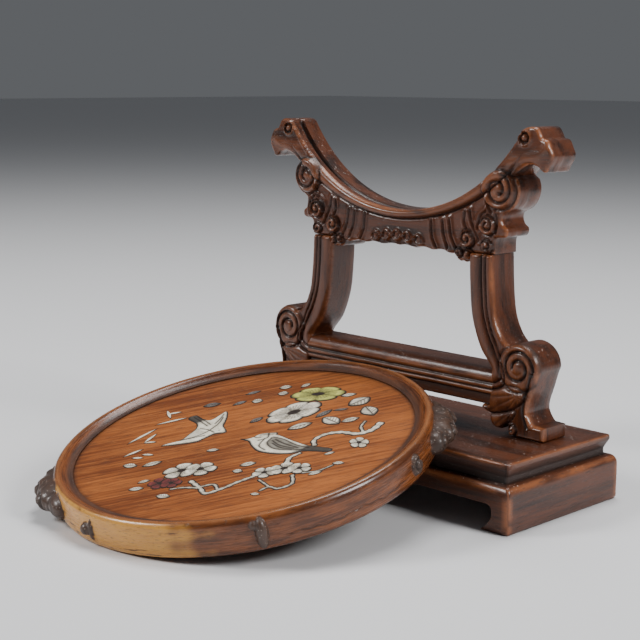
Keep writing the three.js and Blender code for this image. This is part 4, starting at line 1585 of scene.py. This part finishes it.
@dataclass
class Rim:
    """The disc's moulded rim with its carved knots, stubs and a drying crack."""

    plane: DiscPlane
    radius: float = DISC_RADIUS
    thickness: float = 14.2
    opening: float = 71.4
    rebate: float = 74.0
    lip: float = 11.4
    steps: int = 1080
    sapwood: tuple[float, float] = (228.0, 316.0)
    crack: tuple[float, float] = (326.0, 372.0)

    def carvings(self) -> list[WallCarving]:
        """Gives the knots on the right and left and the four stubs."""
        knot = (
            (-1.5, 7.2, (7.0, 17.0, 5.4)),
            (4.5, 7.6, (8.0, 7.2, 5.6), True),
            (-6.0, 7.0, (8.4, 7.0, 5.4), True),
            (-14.5, 6.8, (5.6, 5.6, 4.8), True),
            (14.0, 7.2, (4.0, 6.4, 4.6)),
        )
        stubs = (
            (268.0, 0.0, 7.4, (2.9, 2.6, 2.6)),
            (268.0, 2.6, 7.2, (1.3, 1.2, 4.2)),
            (322.0, 0.0, 7.4, (2.2, 2.3, 6.0)),
            (322.0, -2.6, 11.0, (1.2, 1.6, 1.8)),
            (14.0, 0.0, 7.6, (2.6, 3.2, 4.2), True),
            (225.0, 0.0, 7.2, (2.4, 2.6, 4.2)),
        )
        knots = [(angle, *lump) for angle in (40.0, 238.0) for lump in knot]
        return [WallCarving(*lump) for lump in (*knots, *stubs)]

    def profile(self) -> Line:
        """Gives the rim's section, as radius and height."""
        r, t = self.radius, self.thickness
        curved = spline([
            [r - 1.8, 0.0], [r - 0.7, 0.9], [r - 0.15, 2.8], [r, 6.2], [r - 0.05, 9.4], [r - 0.5, 12.2],
            [r - 1.4, 13.7], [r - 2.6, t], [r - 4.2, t - 0.35], [r - 5.6, t - 1.35], [r - 7.2, t - 2.2],
            [r - 8.6, self.lip + 0.3],
        ], 0.36)
        inner = resampled([[self.opening, self.lip], [self.rebate, self.lip]], 1.0)
        back = resampled([[self.rebate, self.lip - 0.3], [self.rebate, 0.3]], 1.6)
        under = resampled([[self.rebate + 0.3, 0.0], [r - 2.4, 0.0]], 1.2)
        return np.concatenate([curved, inner, back, under])

    def build(self, material: bpy.types.Material) -> None:
        """Builds the rim."""
        tree = ring_moulding(material)
        section = (self.profile() - (self.radius, 0)) * (1, -1)
        swept = tree.result(profile_object(section), {"Radius": self.radius, "Steps": self.steps})
        points = swept.vertices
        angle = np.degrees(np.arctan2(points[:, 1], points[:, 0])) % 360
        radius, level = np.hypot(points[:, 0], points[:, 1]), points[:, 2]
        on_wall = eased((radius - self.radius + 3.2) / 1.6)
        push, knot, cavity = self.carved(angle, level)
        knot *= on_wall
        crack_turn = (angle - self.crack[0]) % 360
        wander = 4.6 + 0.5 * np.sin(crack_turn / 3.1) + 0.25 * np.sin(crack_turn * 1.3)
        crack = ridge(level - wander, 0.26) * on_wall
        crack *= eased(crack_turn / 4) * eased((self.crack[1] - self.crack[0] - crack_turn) / 5)
        grown = radius + on_wall * push - 0.35 * crack
        points[:, 0] *= grown / radius
        points[:, 1] *= grown / radius
        # The cove and the flat of the inner lip are marked for painted shade.
        cove = eased((self.radius - 4.9 - radius) / 2.2) * (level > self.lip - 0.2)
        cavity = np.maximum.reduce([cavity * on_wall, crack, 0.75 * cove])
        start, end = self.sapwood
        spread = 3.0 * np.sin(level * 0.8) + 2.0 * np.sin(angle * 0.9)
        sap = eased((angle - start + spread) / 24) * eased((end - angle + spread) / 30)
        sap *= eased((radius - self.radius + 2.6) / 1.4)
        crest = ridge(radius - self.radius + 2.6, 0.9) * (level > self.thickness - 1.5)
        swept.values = {
            "cavity": cavity,
            "knot": knot,
            "sapwood": sap * (1 - knot),
            "worn": crest * (1 - knot),
            "grain": np.column_stack([points[:, :2], level + 0.8 * radius]),
        }
        piece = Piece("rim_moulded", ("disc_rim",), "rim_wood", crease=60.0)
        piece.make(swept.placed(self.plane.place), material)

    def carved(self, angle: np.ndarray, level: np.ndarray) -> tuple[np.ndarray, np.ndarray, np.ndarray]:
        """Works out the lumps on the wall.

        Args:
            angle: the wall's angles, in degrees.
            level: the wall's heights.

        Returns:
            How far the wall is pushed out, how much of it is knot and its hollows.
        """
        push = np.zeros(len(angle))
        knot = np.zeros(len(angle))
        cavity = np.zeros(len(angle))
        for lump in self.carvings():
            turn = (angle - lump.angle + 180) % 360 - 180
            u = np.radians(turn) * self.radius - lump.along
            v = level - lump.level
            out, half, tall = lump.size
            share = (u / half) ** 2 + (v / tall) ** 2
            rise = out * np.sqrt(np.clip(1 - share, 0, 1))
            if lump.scrolled:
                at = np.column_stack([u, v])
                line = spiral((0, 0), (0.72 * tall, 0.2 * tall), (-40, 420), 0.3)
                near = np.full(len(u), 9.0)
                close = share < 1.3
                near[close] = distance(at[close], line)
                # The scroll's cut is marked for painted shade.
                cut = ridge(near, 0.55) * (share < 0.95)
                rise -= 1.1 * cut
                cavity = np.maximum(cavity, cut)
            push = np.maximum(push, rise)
            knot = np.maximum(knot, eased((1.25 - share) / 0.35))
            # A ring of painted shade where each lump meets the wall.
            cavity = np.maximum(cavity, 0.7 * ridge(share - 1.05, 0.14))
        return push, knot, cavity


@dataclass
class Panel:
    """The disc's flat panel, with painted shade where it meets the rim."""

    plane: DiscPlane
    radius: float = 73.7
    arris: float = 0.4
    inner_rings: tuple[float, ...] = (71.8, 69.5, 66.0)
    rim_shade: tuple[float, float] = (68.5, 4.0)
    grain_turn: float = 52.0
    steps: int = 256

    def build(self, material: bpy.types.Material) -> None:
        """Builds the panel."""
        angle = np.linspace(0, math.tau, self.steps, endpoint=False)
        ring = np.stack([np.cos(angle), np.sin(angle)], 1)
        inset, low = self.radius - self.arris, PANEL_TOP - PANEL_THICKNESS
        section = [(inset, low), (self.radius, low + self.arris), (self.radius, PANEL_TOP - self.arris)]
        section += [(radius, PANEL_TOP) for radius in (inset, *self.inner_rings)]
        shape = Shape.lofted([np.column_stack([ring * r, np.full(self.steps, z)]) for r, z in section])
        points = shape.vertices
        # Painted shade of the rim on the panel's outer ring, carried as its cavity value.
        start, width = self.rim_shade
        cavity = eased((np.hypot(points[:, 0], points[:, 1]) - start) / width)
        grain = np.column_stack([turned(points[:, :2], -self.grain_turn), points[:, 2]])
        shape.values = {"cavity": cavity, "grain": grain}
        piece = Piece("panel_board", ("disc_panel",), "panel_wood", crease=30.0)
        piece.make(shape.placed(self.plane.place), material)


@dataclass(frozen=True)
class Bloom:
    """A flower of the picture, drawn out along one direction.

    Attributes:
        place: its middle.
        size: its half-length and half-width.
        turn: the direction of its length, in degrees.
        petals: how many petals it has.
    """

    place: tuple[float, float]
    size: tuple[float, float]
    turn: float
    petals: int = 5


@dataclass
class Picture:
    """The inlaid picture: birds, flowers, branches, leaves and rows of strokes.

    Attributes:
        plane: the disc's plane.
        stones: each slot's finish.
        top: the height of the panel's face.
        proud: how far the tiles stand above it.
        sunk: how deep they go into it.
        joint: the width of the dark joint round a tile.
        step: the distance between two points of a tile's face.
    """

    plane: DiscPlane
    stones: dict[str, bpy.types.Material]
    top: float = PANEL_TOP
    proud: float = 0.3
    sunk: float = 0.8
    joint: float = 0.4
    step: float = 0.34

    def wall(self, upper: float, joint: float, level: float = 0.0) -> list[WallRow]:
        """Gives the rows of a tile's wall, which steps out into the dark joint round it.

        Args:
            upper: the height of its upper row above the panel.
            joint: the joint's width.
            level: the panel's own height.

        Returns:
            The rows.
        """
        lip = 0.05
        return [WallRow(level + upper), WallRow(level + lip, -joint), WallRow(level - self.sunk, -joint)]

    def tile(self, outline: Line, engrave: Callable | None = None, lift: float = 0.0) -> Shape:
        """Builds one flat inlaid tile with a dark edge.

        Args:
            outline: its edge.
            engrave: gives the ink and shade at its points.
            lift: how far it stands above the others.

        Returns:
            The tile in the disc's plane.
        """
        proud = self.proud + lift

        def carve(points: np.ndarray) -> dict[str, np.ndarray]:
            """Engraves the tile."""
            edge = distance(points, closed_loop(outline))
            ink, shade = engrave(points) if engrave else (np.zeros(len(points)), np.zeros(len(points)))
            ink = np.maximum(ink, ridge(edge, 0.42))
            height = self.top + proud - 0.12 * ink
            return {"height": height, "ink": ink, "shade": shade}

        rows = self.wall(0.5 * proud, self.joint, self.top)
        return Board(outline, self.step, 0.12, rows).shape(carve).without("grain")

    def petal(self) -> Shape:
        """Builds one petal of a flower of radius one, with its dark heart at the origin."""
        outline = spline([
            [0.06, 0.0], [0.34, 0.24], [0.66, 0.42], [0.92, 0.34], [1.02, 0.06], [0.99, -0.14],
            [0.88, -0.36], [0.62, -0.4], [0.3, -0.2],
        ], 0.05, closed=True)[:-1]

        def carve(points: np.ndarray) -> dict[str, np.ndarray]:
            """Engraves the petal's veins and dark heart."""
            edge = distance(points, closed_loop(outline))
            near = np.hypot(*points.T)
            angle = np.degrees(np.arctan2(points[:, 1], points[:, 0]))
            veins = ridge((angle + 5) % 11 - 5.5, 2.3) * (near > 0.3) * (near < 0.72)
            ink = np.maximum.reduce([ridge(edge, 0.075), 0.9 * veins, eased((0.32 - near) / 0.1)])
            shade = 0.35 * eased((0.62 - near) / 0.4)
            return {"height": self.proud - 0.1 * ink, "ink": ink, "shade": shade}

        return Board(outline, 0.055, 0.04, self.wall(0.1, 0.05)).shape(carve).without("grain")

    def leaf(self, veined: bool = True) -> Shape:
        """Builds a leaf of length and width one, or a plain stroke of the same form."""
        share = np.linspace(0, 1, 26)
        upper = np.stack([0.5 - share, 0.5 * np.sin(math.pi * share) ** 0.75], 1)
        outline = np.concatenate([upper, (upper * (1, -1))[::-1][1:-1]])

        def carve(points: np.ndarray) -> dict[str, np.ndarray]:
            """Engraves the leaf's ribs."""
            edge = distance(points, closed_loop(outline))
            u, v = points.T
            middle = ridge(v, 0.06)
            sides = ridge(np.abs((u + 0.55 * np.abs(v)) % 0.17 - 0.085), 0.034) * (np.abs(v) > 0.03)
            ink = ridge(edge, 0.075)
            if veined:
                ink = np.maximum.reduce([ink, middle, 0.85 * sides * (edge > 0.04)])
            shade = 0.3 * eased(0.5 - np.abs(v) * 1.6)
            return {"height": self.proud - 0.1 * ink, "ink": ink, "shade": shade}

        return Board(outline, 0.036, 0.03, self.wall(0.1, 0.055)).shape(carve).without("grain")

    def strip(self, points: Sequence, widths: tuple[float, float]) -> Line:
        """Gives the outline of a branch that tapers from its first point to its last."""
        line = spline(points, 0.6)
        across = to_the_left(np.gradient(line, axis=0))
        share = np.linspace(0, 1, len(line))[:, None]
        half = 0.5 * (widths[0] + (widths[1] - widths[0]) * share)
        half = half * (1 + 0.16 * np.sin(np.arange(len(line)) * 1.1)[:, None])
        return np.concatenate([line - across * half, (line + across * half)[::-1]])

    def branch(self, points: Sequence, widths: tuple[float, float]) -> Shape:
        """Builds a branch with a dark line along it."""
        line = spline(points, 0.8)

        def engrave(at: np.ndarray) -> tuple[np.ndarray, np.ndarray]:
            """Draws the line's ink, without shade."""
            near = distance(at, line + (0.0, 0.25))
            return 0.55 * ridge(near, 0.2), np.zeros(len(at))

        return self.tile(self.strip(points, widths), engrave)

    def finish(self, name: str, nodes: Sequence[str], slot: str, shape: Shape) -> None:
        """Makes a piece of the picture in the stone that its slot names."""
        shape.values["grain"] = shape.vertices.copy()
        Piece(name, tuple(nodes), slot, crease=40.0).make(shape.placed(self.plane.place), self.stones[slot])

    def flower(self, bloom: Bloom, slot: str) -> Shape:
        """Builds a flower in the disc's plane."""
        values = {
            "Petals": bloom.petals,
            "Size": (*bloom.size, 1.0),
            "Turn": (0.0, 0.0, math.radians(bloom.turn)),
            "Place": (*bloom.place, self.top),
        }
        tree = petal_ring(self.stones[slot])
        return tree.result(self.petal().object("petal"), values, ("ink", "shade"))

    def blossoms(self, blooms: Sequence[Bloom], slot: str) -> Shape:
        """Builds several flowers as one shape, each a little higher than the one before."""
        step = 0.06
        made = [self.flower(bloom, slot) for bloom in blooms]
        for number, shape in enumerate(made):
            shape.vertices[:, 2] += step * (number % 3)
        return reduce(Shape.joined, made)

    def scattered(self, pattern: Shape, places: Sequence, slot: str) -> Shape:
        """Lays copies of a shape at places of x, y, length, width and turn."""
        table = np.asarray(places, float)
        count = len(table)
        turns = np.column_stack([np.zeros(count), np.zeros(count), np.radians(table[:, 4])])
        sizes = np.column_stack([table[:, 2], table[:, 3], np.ones(count)])
        centres = np.column_stack([table[:, :2], np.full(count, self.top)])
        points = Shape(centres, [], {"turn": turns, "size": sizes}).object("places")
        source = pattern.object("pattern")
        shape = laid_out(self.stones[slot]).result(points, {"Pattern": source}, ("ink", "shade"))
        bpy.data.objects.remove(source)
        return shape


# The picture's drawing, on the disc's plane in millimetres

STONES = {
    "shell": ((0.86, 0.8, 0.66), (0.56, 0.5, 0.38)),
    "green_stone": ((0.56, 0.55, 0.13), (0.34, 0.35, 0.1)),
    "red_stone": ((0.2, 0.045, 0.04), (0.11, 0.03, 0.03)),
    "grey_shell": ((0.24, 0.23, 0.22), (0.13, 0.11, 0.1)),
}
PERCHED_BIRD = [
    [-0.6, -1.2], [1.9, -0.3], [3.2, 2.2], [3.4, 5.0], [5.2, 7.4], [9.2, 10.0], [10.6, 8.7], [13.4, 8.6],
    [18.4, 7.9], [24, 7.3], [31, 7.1], [41.6, 9.2], [42.4, 6.8], [36.6, 4.4], [32.6, 2.4], [29.4, -1.6],
    [23.6, -4.6], [15.6, -6.0], [8.6, -3.6], [4.4, -1.2],
]
PERCHED_LINES = [
    [[11.5, 6.2], [17.4, 6.6], [25.6, 5.2], [33.0, 5.4]],
    [[11.2, 5.4], [13.4, 0.6], [20.0, -1.8], [27.2, 0.2], [32.4, 3.4]],
    [[13.6, 3.4], [20.0, 1.6], [27.6, 2.2]],
    [[14.2, 4.8], [20.6, 3.6], [28.8, 3.4]],
    [[15.6, 1.6], [21.6, 0.2], [27.2, 1.2]],
    [[6.6, 8.2], [9.4, 4.6], [8.0, 0.8]],
    [[2.6, 2.8], [5.0, 2.4], [6.6, 3.4]],
    [[9.0, 3.4], [12.0, -2.6], [17.4, -4.4]],
]
PERCHED_CAP = [[3.4, 5.0], [9.2, 10.4], [10.2, 7.4], [6.0, 5.2]]
PERCHED_EYE = (5.3, 4.4)
FLYING_BIRD = [
    [-28.2, -21.8], [-24.6, -14.2], [-25.8, -8.6], [-27.4, -3.2], [-31.6, 0.8], [-39.4, 2.8], [-39.2, 6.4],
    [-33.2, 5.4], [-28.4, 6.4], [-29.2, 15.4], [-24.6, 12.0], [-21.4, 8.2], [-18.4, 4.4], [-12.6, 0.6],
    [-15.8, -3.0], [-16.4, -8.4], [-17.4, -12.4], [-22.6, -17.6],
]
FLYING_LINES = [
    [[-26.4, -17.2], [-21.4, -9.6], [-20.2, -3.4], [-21.4, 3.2]],
    [[-24.6, -15.4], [-20.4, -9.4], [-18.2, -6.4]],
    [[-25.4, -2.4], [-21.6, -1.6], [-16.8, -2.2]],
    [[-37.6, 4.4], [-30.6, 2.6], [-25.0, 1.0]],
    [[-36.8, 5.6], [-30.0, 4.2], [-24.6, 2.6]],
    [[-27.6, 13.0], [-25.0, 8.2], [-23.4, 4.2]],
    [[-25.4, 10.6], [-22.8, 6.6], [-21.4, 3.4]],
]
FLYING_WING = [[-28.2, -21.8], [-21.4, -9.6], [-20.2, -3.4], [-27.4, -3.2]]
FLYING_EYE = (-16.2, 0.2)
FLOWERS = {
    "green_flower": ("green_stone", [Bloom((-3.6, 47.6), (12, 7.8), 31, 6)]),
    "white_flower": ("shell", [Bloom((0.6, 28.6), (12.6, 9.0), 74, 6)]),
    "left_blossom": ("shell", [Bloom((-0.6, -33.6), (7.8, 6.4), 60), Bloom((5.6, -29), (6.8, 5.8), 30)]),
    "red_blossom": ("red_stone", [Bloom((0.2, -45.6), (5, 4.6), 0), Bloom((4.4, -43.4), (4.4, 4), 40)]),
    "right_blossom": ("shell", [Bloom((48.6, 18.6), (5.2, 3.8), -25)]),
}
MIDDLE_BLOSSOM = [
    Bloom((32.6, -18.8), (5, 4.6), 20), Bloom((37.4, -12.6), (6.2, 5), 50), Bloom((43, -9.6), (5, 4.4), 10),
]
MIDDLE_STEM = ([[35, -9], [32.2, -4.5], [33, 1]], (2.4, 1.4))
BRANCHES = {
    "thick_branch": [
        ([[33.6, 8.2], [29.6, 12], [29.8, 18], [34.5, 22.6], [42, 24.6], [45, 30], [43.6, 37.6]], (1.8, 3.0)),
        ([[43, 27], [38.6, 30.4], [36.2, 35.6]], (1.4, 1.0)),
    ],
    "long_branch": [
        ([[31.2, -22.6], [28.9, -30], [27.6, -36], [24.6, -42.5], [18.6, -40.4], [10, -38]], (1.6, 2.0)),
        ([[26.6, -38], [21.4, -35.8], [17.6, -40.6]], (1.2, 1.4)),
        ([[18.6, -40.6], [12.4, -43.4], [8.2, -47.2]], (1.4, 1.0)),
    ],
    "lower_twig": [
        ([[44.4, -14.8], [49.8, -20.4], [48, -26], [43.6, -26.6], [42.6, -31]], (1.5, 1.1)),
        ([[43.6, -26.6], [39.6, -25.4], [35, -24.2]], (1.1, 0.9)),
        ([[46.6, -12], [51.2, -8], [53.2, -1]], (1.1, 0.9)),
    ],
}
LEAF_COUNT = 28
GREY_NUMBERS = (7, 8, 9, 14, 15, 16)
LEAVES = [
    [19.6, 49.6, 10.5, 8.2, 80], [30.6, 44, 10.4, 7, -28], [10.2, 52.8, 6.6, 3.4, 46],
    [22.2, 29.4, 10.5, 6.6, -10], [29.4, 33.6, 7.6, 4.2, 60], [13.6, 19.4, 10.5, 5.2, 64],
    [-23.8, 47, 5.6, 4.2, 40], [-16.4, 52.6, 5.4, 2.8, 80], [-19.6, 41.4, 4.8, 4.2, 30],
    [-24.6, 30.2, 5, 4.4, 30], [-3.6, -14.4, 5.4, 2.4, 40], [20.6, -16.6, 6.4, 3.6, 50],
    [21.4, -23, 4.4, 3, 20], [51.8, -9.8, 5.6, 2.4, 60], [54, 1, 4.8, 2.4, 30],
    [44.4, 5.8, 4.6, 1.8, 60], [43.2, -33.6, 4, 2, 20],
    [10.6, -52.4, 6, 3.4, 20], [-5, -53.6, 6, 3.2, 40], [-7.4, -47.8, 5, 2.2, 60], [-25.2, -41, 6.4, 3.8, 20],
    [-17.6, -35.4, 8, 3.6, 60],
]
GREY_LEAVES = [
    [-9.2, 15.4, 6.6, 3.4, 80], [14, 33.4, 9, 3.4, 86], [-33.6, 36, 7, 2.6, 60], [-30.6, 25, 6.6, 2.8, 70],
    [-41.4, 18, 7.6, 4.4, 50], [18, 39.6, 6.4, 2.2, 40],
]
STROKE_WIDTH = 1.5
STROKES = [
    [-48.6, -8.6, -40.9, 3.4], [-56.3, 4.2, -47.8, -0.8], [-53.2, 1, -48.6, 6.4],
    [-44.2, -27.6, -44.8, -11], [-38, -23.6, -40.4, -14.6], [-38, -23.6, -33.6, -20.2],
    [-35, -37, -33.2, -28], [-30.4, -36, -26, -33.4], [-29.2, -31.6, -24, -29.4],
]


def inked(points: np.ndarray, lines: Sequence[Line], eye: tuple[float, float], width: float) -> np.ndarray:
    """Gives the ink of a bird's lines and eye.

    Args:
        points: the bird's points.
        lines: its smooth lines.
        eye: its eye's middle.
        width: the lines' half-width.

    Returns:
        The ink at each point.
    """
    dot = ridge(np.hypot(*(points - eye).T), 0.5)
    return np.maximum.reduce([*(ridge(distance(points, line), width) for line in lines), dot])


def perched_marks(points: np.ndarray) -> tuple[np.ndarray, np.ndarray]:
    """Gives the ink and shade of the perched bird: its eye, collar, wing, cap and dark tail."""
    lines = [spline(line, 0.4) for line in PERCHED_LINES]
    beak = eased((0.9 - points[:, 0] - 0.3 * points[:, 1]) / 1.2)
    tail = eased((points[:, 0] - 28.5) / 3.5)
    feathers = 0.72 * inside(points, np.concatenate([lines[0], lines[1][::-1]]))
    cap = 0.5 * inside(points, np.array(PERCHED_CAP))
    shade = np.maximum.reduce([0.96 * tail, feathers, 0.85 * beak, cap])
    return inked(points, lines, PERCHED_EYE, 0.48), shade


def flying_marks(points: np.ndarray) -> tuple[np.ndarray, np.ndarray]:
    """Gives the ink and shade of the flying bird: its eye, feathers and dark upper wing."""
    lines = [spline(line, 0.4) for line in FLYING_LINES]
    dark = eased((-29.2 - points[:, 0]) / 3.0) * eased((points[:, 1] - 0.2) / 1.5)
    wing = 0.3 * inside(points, np.array(FLYING_WING))
    return inked(points, lines, FLYING_EYE, 0.46), np.maximum(0.96 * dark, wing)


def build_picture(plane: DiscPlane) -> None:
    """Builds every inlaid piece on the disc's plane."""
    stones = {name: Inlay(name, *colours).material() for name, colours in STONES.items()}
    picture = Picture(plane, stones)
    birds = {"perched_bird": (PERCHED_BIRD, perched_marks), "flying_bird": (FLYING_BIRD, flying_marks)}
    for name, (drawn, marks) in birds.items():
        bird = picture.tile(spline(drawn, 0.35, closed=True)[:-1], marks, 0.1)
        picture.finish(f"{name}_inlay", [f"inlay_{name}"], "shell", bird)
    for name, (slot, blooms) in FLOWERS.items():
        picture.finish(f"{name}_inlay", [f"inlay_{name}"], slot, picture.blossoms(blooms, slot))
    middle = picture.blossoms(MIDDLE_BLOSSOM, "shell").joined(picture.branch(*MIDDLE_STEM))
    picture.finish("middle_blossom_inlay", ["inlay_middle_blossom"], "shell", middle)
    for name, runs in BRANCHES.items():
        shape = reduce(Shape.joined, [picture.branch(*run) for run in runs])
        picture.finish(f"{name}_inlay", [f"inlay_{name}"], "shell", shape)
    white_numbers = [number for number in range(1, LEAF_COUNT + 1) if number not in GREY_NUMBERS]
    for name, slot, numbers, places in (
        ("white", "shell", white_numbers, LEAVES),
        ("grey", "grey_shell", GREY_NUMBERS, GREY_LEAVES),
    ):
        nodes = [f"inlay_leaf_{number:02d}" for number in numbers]
        picture.finish(f"{name}_leaves_inlay", nodes, slot, picture.scattered(picture.leaf(), places, slot))
    places = []
    for x0, y0, x1, y1 in STROKES:
        length, turn = math.hypot(x1 - x0, y1 - y0), math.degrees(math.atan2(y1 - y0, x1 - x0))
        places.append([(x0 + x1) / 2, (y0 + y1) / 2, length, STROKE_WIDTH, turn])
    picture.finish("stroke_rows_inlay", [], "shell", picture.scattered(picture.leaf(False), places, "shell"))


# Light, floor and camera


@dataclass
class Studio:
    """The pale floor, the soft lights and the camera.

    Attributes:
        origin: the plinth's middle on the floor, in metres.
        station: the camera's place from there, in millimetres.
        yaw: the camera's turn to the left of +Y, in degrees.
        pitch: how far it looks up, in degrees.
        roll: its roll, in degrees.
        lens: its focal length.
        sensor: its sensor's width.
        clip: the nearest and farthest distances that it sees, in metres.
        floor_reach: half the floor's side, in metres.
    """

    origin: tuple[float, float]
    station: tuple[float, float, float] = (412.1, -452.8, 176.3)
    yaw: float = 45.51
    pitch: float = -9.93
    roll: float = 0.27
    lens: float = 78.14
    sensor: float = 36.0
    clip: tuple[float, float] = (0.01, 20.0)
    floor_reach: float = 9.0
    floor_colour: Colour = (0.72, 0.72, 0.73)
    sky_colour: Colour = (0.9, 0.94, 1.0)
    sky_strength: float = 0.13

    def camera(self) -> None:
        """Puts the camera at the photograph's place."""
        data = bpy.data.cameras.new("camera")
        data.lens, data.sensor_width, data.sensor_fit = self.lens, self.sensor, "HORIZONTAL"
        made = bpy.data.objects.new("camera", data)
        bpy.context.scene.collection.objects.link(made)
        yaw, pitch, roll = (math.radians(angle) for angle in (self.yaw, self.pitch, self.roll))
        ahead = Vector((-math.sin(yaw) * math.cos(pitch), math.cos(yaw) * math.cos(pitch), math.sin(pitch)))
        right = ahead.cross(Vector((0, 0, 1))).normalized()
        up = right.cross(ahead)
        right, up = right * math.cos(roll) + up * math.sin(roll), up * math.cos(roll) - right * math.sin(roll)
        turn = Matrix((right, up, -ahead)).transposed().to_4x4()
        place = Vector((self.origin[0], self.origin[1], 0)) + Vector(self.station) * MM
        made.matrix_world = Matrix.Translation(place) @ turn
        data.clip_start, data.clip_end = self.clip
        bpy.context.scene.camera = made

    def floor(self) -> None:
        """Lays the pale floor."""
        corners = self.floor_reach * np.array([[-1, -1, 0], [1, -1, 0], [1, 1, 0], [-1, 1, 0]])
        made = Shape(corners, [[0, 1, 2, 3]]).object("floor")
        shader = Shader("floor")
        shader.put(shader.surface.inputs["Base Color"], self.floor_colour)
        shader.surface.inputs["Roughness"].default_value = 0.75
        made.data.materials.append(shader.material)

    def lamp(self, name: str, place: Sequence, size: float, power: float, aim: Sequence) -> None:
        """Hangs one soft square lamp.

        Args:
            name: its name.
            place: where it hangs, in metres.
            size: its side, in metres.
            power: its power, in watts.
            aim: the point that it faces, in metres.
        """
        data = bpy.data.lights.new(name, "AREA")
        data.shape, data.size, data.energy = "SQUARE", size, power
        made = bpy.data.objects.new(name, data)
        made.location = place
        made.rotation_euler = (Vector(aim) - Vector(place)).to_track_quat("-Z", "Y").to_euler()
        bpy.context.scene.collection.objects.link(made)

    def lights(self) -> None:
        """Hangs the lamps and sets the soft sky."""
        self.lamp("left_lamp", (-0.75, -0.95, 0.95), 0.45, 17.0, (0, -0.05, 0.03))
        self.lamp("right_lamp", (1.05, 0.25, 0.75), 0.4, 13.0, (0.04, 0.05, 0.07))
        self.lamp("top_lamp", (-0.1, 0.35, 1.3), 0.6, 12.0, (0, 0, 0.03))
        world = bpy.data.worlds.new("studio")
        world.use_nodes = True
        sky = world.node_tree.nodes["Background"]
        sky.inputs["Color"].default_value = (*self.sky_colour, 1.0)
        sky.inputs["Strength"].default_value = self.sky_strength
        bpy.context.scene.world = world

    def build(self) -> None:
        """Sets up the studio."""
        self.camera()
        self.floor()
        self.lights()


def main() -> None:
    """Builds the dressed model round the loaded frame."""
    logging.basicConfig(level=logging.INFO, format="%(name)s %(message)s")
    plinth_low, plinth_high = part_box("plinth")
    leg_low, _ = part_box("left_leg")
    stand = Stand(front=leg_low.y, top=plinth_high.z)
    size = (plinth_high - plinth_low) / MM
    middle = ((plinth_low.x + plinth_high.x) / 2, (plinth_low.y + plinth_high.y) / 2)
    frame_wood = Rosewood().material()
    plinth_wood = Rosewood("plinth_rosewood", dust=0.6, rough=0.33).material()
    Plinth(size.x, size.y, size.z, middle).build(plinth_wood)
    Leg(stand).build(frame_wood)
    Rail(stand).build(frame_wood)
    Cradle(stand).build(frame_wood)
    plane = DiscPlane.of_panel("disc_panel", PANEL_THICKNESS, PANEL_TOP - PANEL_THICKNESS / 2)
    Rim(plane).build(RimWood().material())
    Panel(plane).build(PanelWood().material())
    build_picture(plane)
    Studio(middle).build()


if __name__ == "__main__":
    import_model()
    main()
